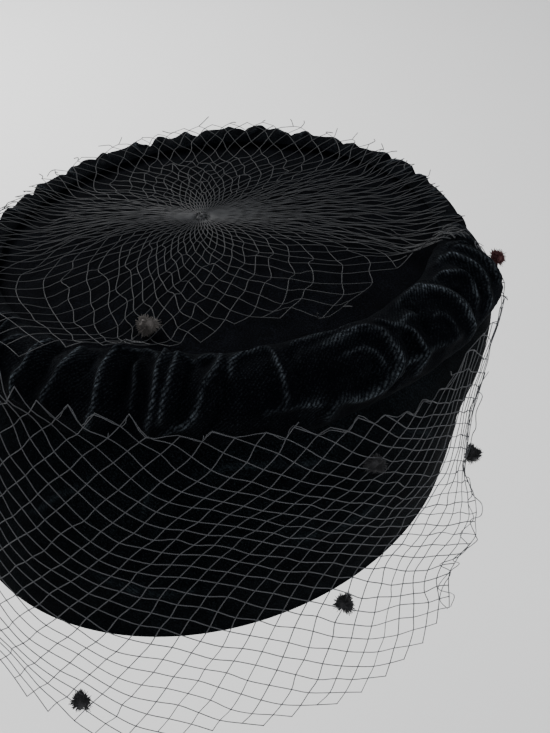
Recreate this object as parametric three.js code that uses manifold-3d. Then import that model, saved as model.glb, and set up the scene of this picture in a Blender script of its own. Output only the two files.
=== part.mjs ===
// Soft pillbox hat in velvet with a ruched top roll and a dotted net veil.
// Millimetres, +Z up. Origin: centre of the head opening, on the plane of the
// rim. The wearer's view of the front is towards -Y. The hat is soft and sits a
// little askew, so the crown's centre lies to one side of the rim's.
import * as THREE from 'three';
import Module from 'manifold-3d';
import { mergeVertices } from 'three/addons/utils/BufferGeometryUtils.js';

// ---------------------------------------------------------------- sizes
const LONG_AXIS = 56;          // direction of the oval's long axis, degrees
const WALL = 2.2;              // velvet side wall, thickness
const TIP_THICK = 2.0;         // crown tip, thickness
const TIP_DOME = 3.0;          // rise of the crown tip at its middle
const TIP_EDGE_Z = 84.4;       // top face of the tip at its edge (on the centre line)
const TIP_RADIUS = 81.0;       // mean radius of the tip
const GAP = 0.5;               // gap between neighbouring pieces
const CREST_Z = 90.9;          // reference plane of the ruched roll
const CREST_R = 80.7;          // reference mean radius of the ruched roll
const NET_THICK = 0.8;         // outer form of the net
const NET_STAND = 3.0;         // the net's form stands this far off the velvet
const NET_CENTRE = { x: 4, y: 16 };  // where the net is gathered on the crown
const DOT_CORE = 3.0;          // wound core of a chenille dot, radius

// side wall and crown, a row for each level. z is the level on the centre line,
// cx cy its centre, rLong rShort its half axes, slopeX slopeY the tilt of the level.
const LEVELS = [
  { name: 'rim',      z: 0,    cx: 0,    cy: 0,   rLong: 98.0, rShort: 85.5, slopeX: 0,       slopeY: 0 },
  { name: 'hem',      z: 8,    cx: 0.9,  cy: 0.3, rLong: 98.6, rShort: 87.0, slopeX: -0.001,  slopeY: -0.001 },
  { name: 'low',      z: 26,   cx: 3.0,  cy: 1.0, rLong: 98.2, rShort: 88.6, slopeX: -0.005,  slopeY: -0.007 },
  { name: 'middle',   z: 46,   cx: 5.3,  cy: 1.8, rLong: 96.0, rShort: 89.2, slopeX: -0.009,  slopeY: -0.013 },
  { name: 'high',     z: 62,   cx: 7.2,  cy: 2.4, rLong: 93.6, rShort: 89.4, slopeX: -0.013,  slopeY: -0.018 },
  { name: 'under',    z: 70,   cx: 8.1,  cy: 2.7, rLong: 91.4, rShort: 88.2, slopeX: -0.015,  slopeY: -0.021 },
  { name: 'shoulder', z: 77,   cx: 8.9,  cy: 3.0, rLong: 87.6, rShort: 84.8, slopeX: -0.017,  slopeY: -0.024 },
  { name: 'top',      z: 82,   cx: 9.5,  cy: 3.2, rLong: 83.0, rShort: 80.0, slopeX: -0.018,  slopeY: -0.026 },
];
const CREST = { z: CREST_Z, cx: 10.5, cy: 3.6, rLong: CREST_R + 1.6, rShort: CREST_R - 1.6, slopeX: -0.018, slopeY: -0.026 };

// seen half of the roll's section: out from the reference ring, up from its plane,
// and how much the folds move that point
const ROLL_SECTION = [
  { name: 'inner_foot',  out: -6.5, up: -5.0,  folds: 0.15 },
  { name: 'inner_face',  out: -7.6, up: -2.0,  folds: 0.5 },
  { name: 'inner_crest', out: -4.6, up: 0.9,   folds: 0.8 },
  { name: 'crest',       out: 0.3,  up: 2.0,   folds: 1.0 },
  { name: 'outer_crest', out: 6.0,  up: 0.6,   folds: 1.0 },
  { name: 'shoulder',    out: 10.8, up: -4.2,  folds: 1.0 },
  { name: 'belly',       out: 13.2, up: -11.0, folds: 1.0 },
  { name: 'belly_low',   out: 12.6, up: -17.5, folds: 0.8 },
  { name: 'lower_edge',  out: 9.9,  up: -22.6, folds: 0.3 },
];
// how full the roll is round the hat: full scales "out", lift raises it, shift moves
// its inner side out, deep scales how far it reaches down the wall
const ROLL_SIZE = [
  { az: -180, full: 0.70, lift: -3.0, shift: 1.0, deep: 0.90 },
  { az: -150, full: 0.95, lift: -2.4, shift: 3.0, deep: 0.92 },
  { az: -128, full: 1.02, lift: -1.2, shift: 4.0, deep: 0.93 },
  { az: -105, full: 1.00, lift: 0.0,  shift: 1.0, deep: 0.92 },
  { az: -80,  full: 1.00, lift: 0.0,  shift: 0.5, deep: 0.92 },
  { az: -58,  full: 1.00, lift: 0.0,  shift: 2.5, deep: 0.84 },
  { az: -40,  full: 1.06, lift: 0.2,  shift: 1.0, deep: 0.78 },
  { az: -24,  full: 1.08, lift: 0.0,  shift: 0.0, deep: 0.76 },
  { az: -11,  full: 0.55, lift: -3.0, shift: 0.0, deep: 0.76 },
  { az: 12,   full: 0.30, lift: -5.0, shift: 0.0, deep: 0.80 },
  { az: 45,   full: 0.42, lift: -4.0, shift: 0.0, deep: 0.80 },
  { az: 85,   full: 0.85, lift: -1.9, shift: 0.5, deep: 0.84 },
  { az: 120,  full: 0.62, lift: -2.9, shift: 0.0, deep: 0.84 },
  { az: 155,  full: 0.50, lift: -4.0, shift: 0.0, deep: 0.86 },
];
// main folds of the roll: azimuth at the crest and at the lower edge, width in
// degrees and height in mm (a pleat is above the roll, a pinch below it)
const FOLDS = [
  { kind: 'pleat', azTop: -128, azFoot: -133, width: 3.4, height: 1.6 },
  { kind: 'pinch', azTop: -121, azFoot: -127, width: 3.0, height: -1.8 },
  { kind: 'pleat', azTop: -114, azFoot: -121, width: 3.2, height: 2.0 },
  { kind: 'pinch', azTop: -109, azFoot: -114, width: 3.2, height: -1.4 },
  { kind: 'pleat', azTop: -104, azFoot: -107, width: 2.6, height: 2.2 },
  { kind: 'pinch', azTop: -100, azFoot: -104, width: 2.4, height: -2.2 },
  { kind: 'pleat', azTop: -94,  azFoot: -102, width: 2.8, height: 1.8 },
  { kind: 'pinch', azTop: -91,  azFoot: -96,  width: 2.2, height: -2.2 },
  { kind: 'pleat', azTop: -85,  azFoot: -86,  width: 4.2, height: 1.6 },
  { kind: 'pinch', azTop: -78,  azFoot: -80,  width: 2.4, height: -1.8 },
  { kind: 'pleat', azTop: -66,  azFoot: -73,  width: 5.0, height: 2.0 },
  { kind: 'pinch', azTop: -58,  azFoot: -66,  width: 2.6, height: -2.0 },
  { kind: 'pleat', azTop: -50,  azFoot: -52,  width: 3.4, height: 1.5 },
  { kind: 'pinch', azTop: -46,  azFoot: -46,  width: 2.2, height: -1.6 },
  { kind: 'pleat', azTop: -36,  azFoot: -33,  width: 6.0, height: 1.6 },
  { kind: 'pinch', azTop: -27,  azFoot: -24,  width: 2.2, height: -1.4 },
  { kind: 'pleat', azTop: -22,  azFoot: -19,  width: 3.0, height: 1.2 },
];
// A place on the net is given by its azimuth and by a count down its path: 0 at the
// gathering on the crown, 3 near the edge of the tip, 5 on the crest of the roll, 10 at
// the roll's lower edge, 14 level with the rim, 16 below it.
const PATH = { tipEnd: 3, rollStart: 4, rollEnd: 10, belowRim: [
  { at: 11, z: 60 }, { at: 12, z: 40 }, { at: 13, z: 20 }, { at: 14, z: 0 }, { at: 15, z: -20 }, { at: 16, z: -42 } ] };
// outer edge of the gathered crown part
const CROWN_NET_EDGE = [
  { az: -180, at: 7.0 }, { az: -150, at: 7.0 }, { az: -131, at: 7.0 }, { az: -122, at: 5.6 }, { az: -114, at: 4.6 },
  { az: -106, at: 3.6 }, { az: -99,  at: 3.0 }, { az: -90,  at: 2.7 }, { az: -72,  at: 2.8 }, { az: -60,  at: 3.0 },
  { az: -44,  at: 3.0 }, { az: -30,  at: 3.0 }, { az: -20,  at: 3.5 }, { az: -12,  at: 5.2 }, { az: 6,    at: 5.9 },
  { az: 60,   at: 5.6 }, { az: 120,  at: 5.7 }, { az: 150,  at: 6.2 }, { az: 170,  at: 7.0 },
];
// the hanging front part, from its left end to its right end: top edge, hem, and how
// far it stands off the wall at the rim and below
const FRONT_NET = [
  { az: -188, top: 7.4,  hem: 12.0, flare: 1.0 },
  { az: -180, top: 7.4,  hem: 14.6, flare: 3.0 },
  { az: -166, top: 7.4,  hem: 15.6, flare: 3.5 },
  { az: -150, top: 7.4,  hem: 16.0, flare: 3.0 },
  { az: -131, top: 7.4,  hem: 16.0, flare: 3.0 },
  { az: -122, top: 7.6,  hem: 16.0, flare: 3.0 },
  { az: -113, top: 8.4,  hem: 16.0, flare: 3.0 },
  { az: -102, top: 9.2,  hem: 16.0, flare: 3.0 },
  { az: -88,  top: 9.8,  hem: 16.0, flare: 3.5 },
  { az: -70,  top: 10.2, hem: 16.0, flare: 6.0 },
  { az: -54,  top: 10.4, hem: 15.9, flare: 10.0 },
  { az: -43,  top: 10.6, hem: 15.3, flare: 16.0 },
  { az: -34,  top: 10.8, hem: 14.4, flare: 18.0 },
  { az: -26,  top: 10.6, hem: 13.3, flare: 15.0 },
  { az: -20,  top: 8.4,  hem: 11.4, flare: 5.0 },
  { az: -15,  top: 6.0,  hem: 8.6,  flare: 2.0 },
];
// chenille dots: azimuth, place on the path, size of the wound core
const DOTS = [
  { az: -112, at: 2.80, size: 1.00 },
  { az: -18,  at: 7.20, size: 0.73 },
  { az: -31,  at: 12.7, size: 0.85 },
  { az: -62,  at: 11.35, size: 0.95 },
  { az: -67,  at: 13.75, size: 0.95 },
  { az: -147, at: 12.5, size: 0.95 },
  { az: -168, at: 14.4, size: 0.95 },
  { az: -172, at: 9.4,  size: 0.90 },
  { az: -118, at: 15.4, size: 0.95 },
];
// the wall and the roll's belly swell out on the right, under the tack
const SIDE_SWELL = { az: -15, width: 17, height: 3.8, from: 25, full: 48, high: 70, end: 90 };
const BACK_PUFFS = { from: -8, to: 218, count: 13, height: 1.3 };  // even small puffs on the back

const LIFT_SHARE = [0, 0.5, 0.85];   // how much of the lift the rows next to the tip take

const WALL_SEGMENTS = 52, ROLL_SEGMENTS = 104, TIP_SEGMENTS = 48;
const CROWN_NET_SEGMENTS = 54, FRONT_NET_COLUMNS = 38, FRONT_NET_ROWS = 10;

// ---------------------------------------------------------------- helpers
const rad = (d) => d * Math.PI / 180;
const mix = (a, b, t) => a + (b - a) * t;
const smooth = (t) => { const u = Math.min(1, Math.max(0, t)); return u * u * (3 - 2 * u); };

// a level between two rows of the table, on a smooth curve through the rows
function levelAt(z) {
  const n = LEVELS.length;
  let i = 0;
  while (i < n - 2 && z > LEVELS[i + 1].z) i++;
  const a = LEVELS[i], b = LEVELS[i + 1], p = LEVELS[Math.max(0, i - 1)], q = LEVELS[Math.min(n - 1, i + 2)];
  const t = Math.min(1, Math.max(0, (z - a.z) / (b.z - a.z)));
  const out = { z };
  for (const k of ['cx', 'cy', 'rLong', 'rShort', 'slopeX', 'slopeY']) {
    const ma = p === a ? (b[k] - a[k]) : (b[k] - p[k]) * (b.z - a.z) / (b.z - p.z);
    const mb = q === b ? (b[k] - a[k]) : (q[k] - a[k]) * (b.z - a.z) / (q.z - a.z);
    const t2 = t * t, t3 = t2 * t;
    out[k] = (2 * t3 - 3 * t2 + 1) * a[k] + (t3 - 2 * t2 + t) * ma + (3 * t2 - 2 * t3) * b[k] + (t3 - t2) * mb;
  }
  return out;
}
function ovalRadius(level, az) {
  const a = rad(az - LONG_AXIS);
  return level.rLong * level.rShort / Math.hypot(level.rShort * Math.cos(a), level.rLong * Math.sin(a));
}
function sideSwell(az, z) {
  const s = SIDE_SWELL, d = angleApart(az, s.az) / s.width;
  return s.height * Math.exp(-d * d) * smooth((z - s.from) / (s.full - s.from)) * smooth((s.end - z) / (s.end - s.high));
}
function ovalPoint(level, az, out, up) {
  const r = ovalRadius(level, az) + out + sideSwell(az, level.z + up), c = Math.cos(rad(az)), s = Math.sin(rad(az));
  return new THREE.Vector3(level.cx + r * c, level.cy + r * s, level.z + level.slopeX * r * c + level.slopeY * r * s + up);
}
// periodic smooth look-up in a table with an az column
function roundTable(rows, az, key) {
  const n = rows.length;
  let a = ((az + 180) % 360 + 360) % 360 - 180;
  let i = n - 1;
  for (let k = 0; k < n; k++) if (rows[k].az <= a) i = k;
  const p = rows[i], q = rows[(i + 1) % n];
  const span = ((q.az - p.az) % 360 + 360) % 360 || 360;
  const t = (((a - p.az) % 360 + 360) % 360) / span;
  return mix(p[key], q[key], smooth(t));
}
const angleApart = (a, b) => ((a - b + 180) % 360 + 360) % 360 - 180;

// fold height at azimuth az and at a place down the roll (0 crest, 1 lower edge)
function foldHeight(az, down) {
  let h = 0;
  for (const f of FOLDS) {
    const d = angleApart(az, mix(f.azTop, f.azFoot, down)) / f.width;
    h += f.height * Math.exp(-d * d);
  }
  const w = angleApart(az, (BACK_PUFFS.from + BACK_PUFFS.to) / 2), half = (BACK_PUFFS.to - BACK_PUFFS.from) / 2;
  const on = smooth((half - Math.abs(w)) / 12);
  h += on * BACK_PUFFS.height * (1.6 * Math.abs(Math.sin(Math.PI * BACK_PUFFS.count * (w + half) / (2 * half))) - 1);
  return h;
}

// closed shell from closed rings of points: rings follow each other round a loop
function ringLoop(rings) {
  const m = rings.length, n = rings[0].length, pos = [], idx = [];
  for (const ring of rings) for (const p of ring) pos.push(p.x, p.y, p.z);
  for (let i = 0; i < m; i++) for (let j = 0; j < n; j++) {
    const a = i * n + j, b = i * n + (j + 1) % n, c = ((i + 1) % m) * n + (j + 1) % n, d = ((i + 1) % m) * n + j;
    idx.push(a, b, c, a, c, d);
  }
  return outward(pos, idx);
}
// closed body from rings of points with a pole point at each end
function ringCapped(first, rings, last) {
  const m = rings.length, n = rings[0].length, pos = [first.x, first.y, first.z], idx = [];
  for (const ring of rings) for (const p of ring) pos.push(p.x, p.y, p.z);
  pos.push(last.x, last.y, last.z);
  const end = 1 + m * n;
  for (let j = 0; j < n; j++) {
    const k = (j + 1) % n;
    idx.push(0, 1 + j, 1 + k);
    for (let i = 0; i < m - 1; i++) {
      const a = 1 + i * n + j, b = 1 + i * n + k, c = a + n, d = b + n;
      idx.push(a, c, d, a, d, b);
    }
    idx.push(end, 1 + (m - 1) * n + k, 1 + (m - 1) * n + j);
  }
  return outward(pos, idx);
}
// a thick skin from an open sheet: its points, their outward normals and its triangles
function thickSheet(points, normals, triangles, thick) {
  const n = points.length, pos = [], idx = [], edges = new Map();
  for (const p of points) pos.push(p.x, p.y, p.z);
  points.forEach((p, i) => { const q = p.clone().addScaledVector(normals[i], thick); pos.push(q.x, q.y, q.z); });
  for (const [a, b, c] of triangles) {
    idx.push(a + n, b + n, c + n, a, c, b);
    for (const [u, v] of [[a, b], [b, c], [c, a]]) {
      if (edges.has(v + '_' + u)) edges.delete(v + '_' + u); else edges.set(u + '_' + v, [u, v]);
    }
  }
  for (const [u, v] of edges.values()) idx.push(u, v, v + n, u, v + n, u + n);
  return outward(pos, idx);
}
// geometry from positions and triangles, turned so that its faces point out
function outward(pos, idx) {
  let vol = 0;
  const P = (i) => new THREE.Vector3(pos[3 * i], pos[3 * i + 1], pos[3 * i + 2]);
  for (let t = 0; t < idx.length; t += 3) vol += P(idx[t]).dot(P(idx[t + 1]).cross(P(idx[t + 2])));
  if (vol < 0) for (let t = 0; t < idx.length; t += 3) [idx[t + 1], idx[t + 2]] = [idx[t + 2], idx[t + 1]];
  const geometry = new THREE.BufferGeometry();
  geometry.setAttribute('position', new THREE.Float32BufferAttribute(pos, 3));
  geometry.setIndex(idx);
  geometry.computeVertexNormals();
  return geometry;
}
const azimuths = (n) => Array.from({ length: n }, (_, j) => -180 + 360 * j / n);

// ---------------------------------------------------------------- side band
const WALL_ROWS = [0, 8, 26, 46, 62, 70, 77, 82];
function sideBand() {
  const az = azimuths(WALL_SEGMENTS);
  const outer = WALL_ROWS.map((z) => az.map((a) => ovalPoint(levelAt(z), a, 0, 0)));
  const inner = [82, 70, 46, 8, 0].map((z) => az.map((a) => ovalPoint(levelAt(z), a, -WALL, 0)));
  return ringLoop([...outer, ...inner]);
}

// ---------------------------------------------------------------- crown tip
const TIP_LEVEL = { ...CREST, z: TIP_EDGE_Z, cx: 9.8, cy: 3.3, rLong: TIP_RADIUS + 1.5, rShort: TIP_RADIUS - 1.5 };
function tipPoint(az, share, below) {
  const r = ovalRadius(TIP_LEVEL, az) * share, c = Math.cos(rad(az)), s = Math.sin(rad(az));
  const dome = TIP_DOME * (1 - share * share);
  return new THREE.Vector3(TIP_LEVEL.cx + r * c, TIP_LEVEL.cy + r * s,
    TIP_LEVEL.z + TIP_LEVEL.slopeX * r * c + TIP_LEVEL.slopeY * r * s + dome - below);
}
function crownTip() {
  const az = azimuths(TIP_SEGMENTS), shares = [0.35, 0.7, 1];
  const top = shares.map((s) => az.map((a) => tipPoint(a, s, 0)));
  const under = [1, 0.7, 0.35].map((s) => az.map((a) => tipPoint(a, s, TIP_THICK)));
  return ringCapped(tipPoint(0, 0, 0), [...top, ...under], tipPoint(0, 0, TIP_THICK));
}

// ---------------------------------------------------------------- ruched band
// a point of the roll's seen face; row is an index in ROLL_SECTION, may be fractional
function rollPoint(az, row, stand, folded = true) {
  const i = Math.min(ROLL_SECTION.length - 2, Math.floor(row)), t = row - i;
  const full = roundTable(ROLL_SIZE, az, 'full'), lift = roundTable(ROLL_SIZE, az, 'lift');
  const shift = roundTable(ROLL_SIZE, az, 'shift'), deep = roundTable(ROLL_SIZE, az, 'deep');
  const at = (k) => {
    const s = ROLL_SECTION[k], inner = k <= 4 ? shift * (1 - k / 5) : 0;
    const share = Math.min(1, (s.up + 22.6) / 17);
    let out = (s.out > 0 ? s.out * full : s.out) + inner;
    const up = k < 5 ? s.up : s.up * deep;
    if (s.name === 'lower_edge') out = Math.max(out, wallOut(az, up) + 1.4);
    if (s.name === 'belly_low') out = Math.max(out, wallOut(az, up) + 2.6);
    if (s.name === 'belly') out = Math.max(out, wallOut(az, up) + 3.0);
    return { out, up: up + lift * share * (LIFT_SHARE[k] ?? 1), folds: s.folds };
  };
  const a = at(i), b = at(i + 1);
  // outward normal of the section, from the neighbouring rows
  const p = at(Math.max(0, i - (t < 0.5 ? 1 : 0))), q = at(Math.min(ROLL_SECTION.length - 1, i + (t < 0.5 ? 1 : 2)));
  const nx = -(q.up - p.up), ny = q.out - p.out, len = Math.hypot(nx, ny);
  const down = Math.min(1, Math.max(0, (row - 3) / 5));
  const h = (folded ? foldHeight(az, down) * mix(a.folds, b.folds, t) : 0) + stand;
  return ovalPoint(CREST, az, mix(a.out, b.out, t) + h * nx / len, mix(a.up, b.up, t) + h * ny / len);
}
// how far the side wall stands out from the roll's reference ring at a height below it
function wallOut(az, up) {
  const want = CREST_Z + up, p = ovalPoint(levelAt(want), az, 0, 0);
  return Math.hypot(p.x - CREST.cx, p.y - CREST.cy) - ovalRadius(CREST, az) - sideSwell(az, want);
}
function ruchedBand() {
  const az = azimuths(ROLL_SEGMENTS);
  const seen = ROLL_SECTION.map((_, i) => az.map((a) => rollPoint(a, i, 0)));
  const against = [-22.0, -15.8, -10.0].map((depth) => az.map((a) => {
    const up = depth * mix(roundTable(ROLL_SIZE, a, 'deep'), 1, (depth + 22) / 12);
    return ovalPoint(CREST, a, wallOut(a, up) + GAP + 0.4, up);
  }));
  const corner = [[1.9, -8.4], [1.8, -5.4]].map(([out, up]) => az.map((a) => ovalPoint(CREST, a, out, up)));
  return ringLoop([...seen, ...against, ...corner]);
}

// ---------------------------------------------------------------- net
// a point of the net's form at an azimuth and a place on its path
function netPoint(az, at, stand = NET_STAND, flare = 0) {
  if (at <= PATH.rollStart) {
    const edge = tipPoint(az, 0.8, 0), lip = rollPoint(az, 2, stand, false);
    const t = Math.min(1, at / PATH.tipEnd);
    const x = mix(NET_CENTRE.x, edge.x, t), y = mix(NET_CENTRE.y, edge.y, t);
    const dx = x - TIP_LEVEL.cx, dy = y - TIP_LEVEL.cy, a = Math.atan2(dy, dx) * 180 / Math.PI;
    const p = tipPoint(a, Math.hypot(dx, dy) / ovalRadius(TIP_LEVEL, a), 0);
    p.z += stand;
    return at <= PATH.tipEnd ? p : p.lerp(lip, (at - PATH.tipEnd) / (PATH.rollStart - PATH.tipEnd));
  }
  if (at <= PATH.rollEnd) return rollPoint(az, 2 + (at - PATH.rollStart), stand, false);
  // down the wall: the level falls with the path, below the rim the net hangs free
  const rows = [{ at: 10, z: null }, ...PATH.belowRim];
  let i = 1;
  while (i < rows.length - 1 && at > rows[i].at) i++;
  const t = Math.min(1, at - rows[i - 1].at), b = rows[i].z;
  const foot = rollPoint(az, 8, stand, false);
  const fall = smooth((at - 11.5) / 3), off = stand + 0.6 + flare * fall;
  const hang = (z) => ovalPoint({ ...levelAt(Math.max(0, z)), z }, az, off, 0);
  const low = hang(b);
  return i === 1 ? foot.lerp(low, t) : hang(rows[i - 1].z).lerp(low, t);
}
function netNormal(az, at, flare) {
  const e = 0.05, u = netPoint(az + 1, at, NET_STAND, flare).sub(netPoint(az - 1, at, NET_STAND, flare));
  const v = netPoint(az, at + e, NET_STAND, flare).sub(netPoint(az, Math.max(0.001, at - e), NET_STAND, flare));
  return v.cross(u).normalize();
}
function tableAt(rows, az, key) {
  if (az <= rows[0].az) return rows[0][key];
  for (let i = 1; i < rows.length; i++) if (az <= rows[i].az) {
    return mix(rows[i - 1][key], rows[i][key], (az - rows[i - 1].az) / (rows[i].az - rows[i - 1].az));
  }
  return rows[rows.length - 1][key];
}
// normals of a sheet, averaged over its triangles and turned away from the hat's middle
function sheetNormals(points, triangles) {
  const normals = points.map(() => new THREE.Vector3());
  for (const [a, b, c] of triangles) {
    const n = points[b].clone().sub(points[a]).cross(points[c].clone().sub(points[a]));
    for (const i of [a, b, c]) normals[i].add(n);
  }
  const inside = new THREE.Vector3(8, 3, 40);
  normals.forEach((n, i) => { n.normalize(); if (n.dot(points[i].clone().sub(inside)) < 0) n.multiplyScalar(-1); });
  return normals;
}
function crownNet() {
  const az = azimuths(CROWN_NET_SEGMENTS), shares = [0.14, 0.36, 0.58, 0.74, 0.86, 0.94, 1];
  const points = [netPoint(0, 0)], tri = [], n = az.length;
  for (const s of shares) for (const a of az) {
    const edge = roundTable(CROWN_NET_EDGE, a, 'at');
    points.push(netPoint(a, edge * s));
  }
  for (let k = 0; k < shares.length; k++) for (let j = 0; j < n; j++) {
    const b = 1 + k * n + j, c = 1 + k * n + (j + 1) % n;
    if (k === 0) tri.push([0, b, c]);
    else tri.push([b - n, b, c], [b - n, c, c - n]);
  }
  return thickSheet(points, sheetNormals(points, tri), tri, NET_THICK);
}
function frontNet() {
  const first = FRONT_NET[0].az, last = FRONT_NET[FRONT_NET.length - 1].az;
  const points = [], tri = [], m = FRONT_NET_COLUMNS, n = FRONT_NET_ROWS;
  for (let j = 0; j <= m; j++) {
    const a = mix(first, last, j / m), top = tableAt(FRONT_NET, a, 'top'), hem = tableAt(FRONT_NET, a, 'hem');
    for (let i = 0; i <= n; i++) points.push(netPoint(a, mix(top, hem, i / n), NET_STAND, tableAt(FRONT_NET, a, 'flare')));
  }
  for (let j = 0; j < m; j++) for (let i = 0; i < n; i++) {
    const a = j * (n + 1) + i, b = a + n + 1;
    tri.push([a, b, b + 1], [a, b + 1, a + 1]);
  }
  return thickSheet(points, sheetNormals(points, tri), tri, NET_THICK);
}
// the middle of a dot, on the middle of the net's thickness
function dotCentre(dot) {
  const flare = dot.at > 11 ? tableAt(FRONT_NET, dot.az, 'flare') : 0;
  return netPoint(dot.az, dot.at, NET_STAND, flare).addScaledVector(netNormal(dot.az, dot.at, flare), NET_THICK / 2);
}
function dotBall(dot, extra) {
  const g = new THREE.IcosahedronGeometry(DOT_CORE * dot.size + extra, 1);
  g.deleteAttribute('normal');
  g.deleteAttribute('uv');
  const c = dotCentre(dot);
  g.translate(c.x, c.y, c.z);
  const ball = mergeVertices(g, 1e-4);
  ball.computeVertexNormals();
  return ball;
}

// ---------------------------------------------------------------- cuts
const wasm = await Module();
wasm.setup();
function toSolid(geometry) {
  const g = geometry.clone();
  g.deleteAttribute('normal');
  const merged = mergeVertices(g, 1e-4);
  return new wasm.Manifold(new wasm.Mesh({ numProp: 3, vertProperties: new Float32Array(merged.attributes.position.array), triVerts: new Uint32Array(merged.index.array) }));
}
function fromSolid(solid) {
  const mesh = solid.getMesh(), g = new THREE.BufferGeometry();
  g.setAttribute('position', new THREE.BufferAttribute(new Float32Array(mesh.vertProperties), 3));
  g.setIndex(Array.from(mesh.triVerts));
  g.computeVertexNormals();
  return g;
}
// the net goes round each dot with a small gap
function clearOfDots(geometry) {
  let solid = toSolid(geometry);
  for (const dot of DOTS) solid = solid.subtract(toSolid(dotBall(dot, 0.35)));
  return fromSolid(solid);
}

// ---------------------------------------------------------------- the hat
const velvet = (hex) => new THREE.MeshStandardMaterial({ color: hex, roughness: 0.92, metalness: 0 });
const hat = new THREE.Group();
function add(name, geometry, material) {
  const mesh = new THREE.Mesh(geometry, material);
  mesh.name = name;
  hat.add(mesh);
}
add('side_band', sideBand(), velvet(0x15181a));
add('crown_tip', crownTip(), velvet(0x121416));
add('ruched_band', ruchedBand(), velvet(0x17191c));

const net = (hex) => new THREE.MeshStandardMaterial({ color: hex, roughness: 0.7, metalness: 0, side: THREE.DoubleSide });
add('veil_crown', clearOfDots(crownNet()), net(0x101010));
add('veil_front', clearOfDots(frontNet()), net(0x101010));
DOTS.forEach((dot, i) => add('chenille_dot_' + String(i + 1).padStart(2, '0'), dotBall(dot, 0), velvet(0x2a2422)));

export default hat;
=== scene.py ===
# Velvet pillbox hat with a ruched roll and a dotted net veil.
# Everything is worked out in millimetres in the part's frame and made in metres.
import bpy
import math
import numpy as np
from mathutils import Matrix, Vector


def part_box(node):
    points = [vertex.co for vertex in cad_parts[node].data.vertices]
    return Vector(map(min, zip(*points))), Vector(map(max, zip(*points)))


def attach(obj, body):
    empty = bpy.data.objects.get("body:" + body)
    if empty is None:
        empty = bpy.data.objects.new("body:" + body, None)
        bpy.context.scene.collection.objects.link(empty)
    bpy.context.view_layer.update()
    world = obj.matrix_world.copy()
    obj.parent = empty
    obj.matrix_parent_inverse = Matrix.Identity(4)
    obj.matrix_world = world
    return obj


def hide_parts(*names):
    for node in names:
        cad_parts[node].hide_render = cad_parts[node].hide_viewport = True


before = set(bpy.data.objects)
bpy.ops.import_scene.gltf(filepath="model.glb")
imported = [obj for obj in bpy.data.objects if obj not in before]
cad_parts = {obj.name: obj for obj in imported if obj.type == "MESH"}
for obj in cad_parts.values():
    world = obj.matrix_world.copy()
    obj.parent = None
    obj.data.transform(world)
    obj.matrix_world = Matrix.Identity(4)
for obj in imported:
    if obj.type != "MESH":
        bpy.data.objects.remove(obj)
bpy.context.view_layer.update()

MM = 0.001

# ------------------------------------------------------------------ sizes (as in the CAD model)
LONG_AXIS = 56.0
WALL = 2.2
TIP_THICK = 2.0
TIP_DOME = 3.0
TIP_EDGE_Z = 84.4
TIP_RADIUS = 81.0
CREST_Z = 90.9
CREST_R = 80.7
NET_CENTRE = (4.0, 16.0)
# level z, centre x y, long and short half axis, slope x y
LEVELS = np.array([
    (0, 0, 0, 98.0, 85.5, 0, 0),
    (8, 0.9, 0.3, 98.6, 87.0, -0.001, -0.001),
    (26, 3.0, 1.0, 98.2, 88.6, -0.005, -0.007),
    (46, 5.3, 1.8, 96.0, 89.2, -0.009, -0.013),
    (62, 7.2, 2.4, 93.6, 89.4, -0.013, -0.018),
    (70, 8.1, 2.7, 91.4, 88.2, -0.015, -0.021),
    (77, 8.9, 3.0, 87.6, 84.8, -0.017, -0.024),
    (82, 9.5, 3.2, 83.0, 80.0, -0.018, -0.026)], float)
CREST = np.array([CREST_Z, 10.5, 3.6, CREST_R + 1.6, CREST_R - 1.6, -0.018, -0.026])
TIP = np.array([TIP_EDGE_Z, 9.8, 3.3, TIP_RADIUS + 1.5, TIP_RADIUS - 1.5, -0.018, -0.026])
# seen half of the roll's section: out, up, share of the folds
ROLL = np.array([
    (-6.5, -5.0, 0.15), (-7.6, -2.0, 0.5), (-4.6, 0.9, 0.8), (0.3, 2.0, 1.0), (6.0, 0.6, 1.0),
    (10.8, -4.2, 1.0), (13.2, -11.0, 1.0), (12.6, -17.5, 0.8), (9.9, -22.6, 0.3)])
# azimuth, full, lift, shift, deep
ROLL_SIZE = np.array([
    (-180, 0.70, -3.0, 1.0, 0.90), (-150, 0.95, -2.4, 3.0, 0.92), (-128, 1.02, -1.2, 4.0, 0.93),
    (-105, 1.00, 0.0, 1.0, 0.92), (-80, 1.00, 0.0, 0.5, 0.92), (-58, 1.00, 0.0, 2.5, 0.84),
    (-40, 1.06, 0.2, 1.0, 0.78), (-24, 1.08, 0.0, 0.0, 0.76), (-11, 0.55, -3.0, 0.0, 0.76),
    (12, 0.30, -5.0, 0.0, 0.80), (45, 0.42, -4.0, 0.0, 0.80), (85, 0.85, -1.9, 0.5, 0.84),
    (120, 0.62, -2.9, 0.0, 0.84), (155, 0.50, -4.0, 0.0, 0.86)], float)


# ------------------------------------------------------------------ hat surfaces
def smooth(t):
    t = np.clip(t, 0, 1)
    return t * t * (3 - 2 * t)


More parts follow.
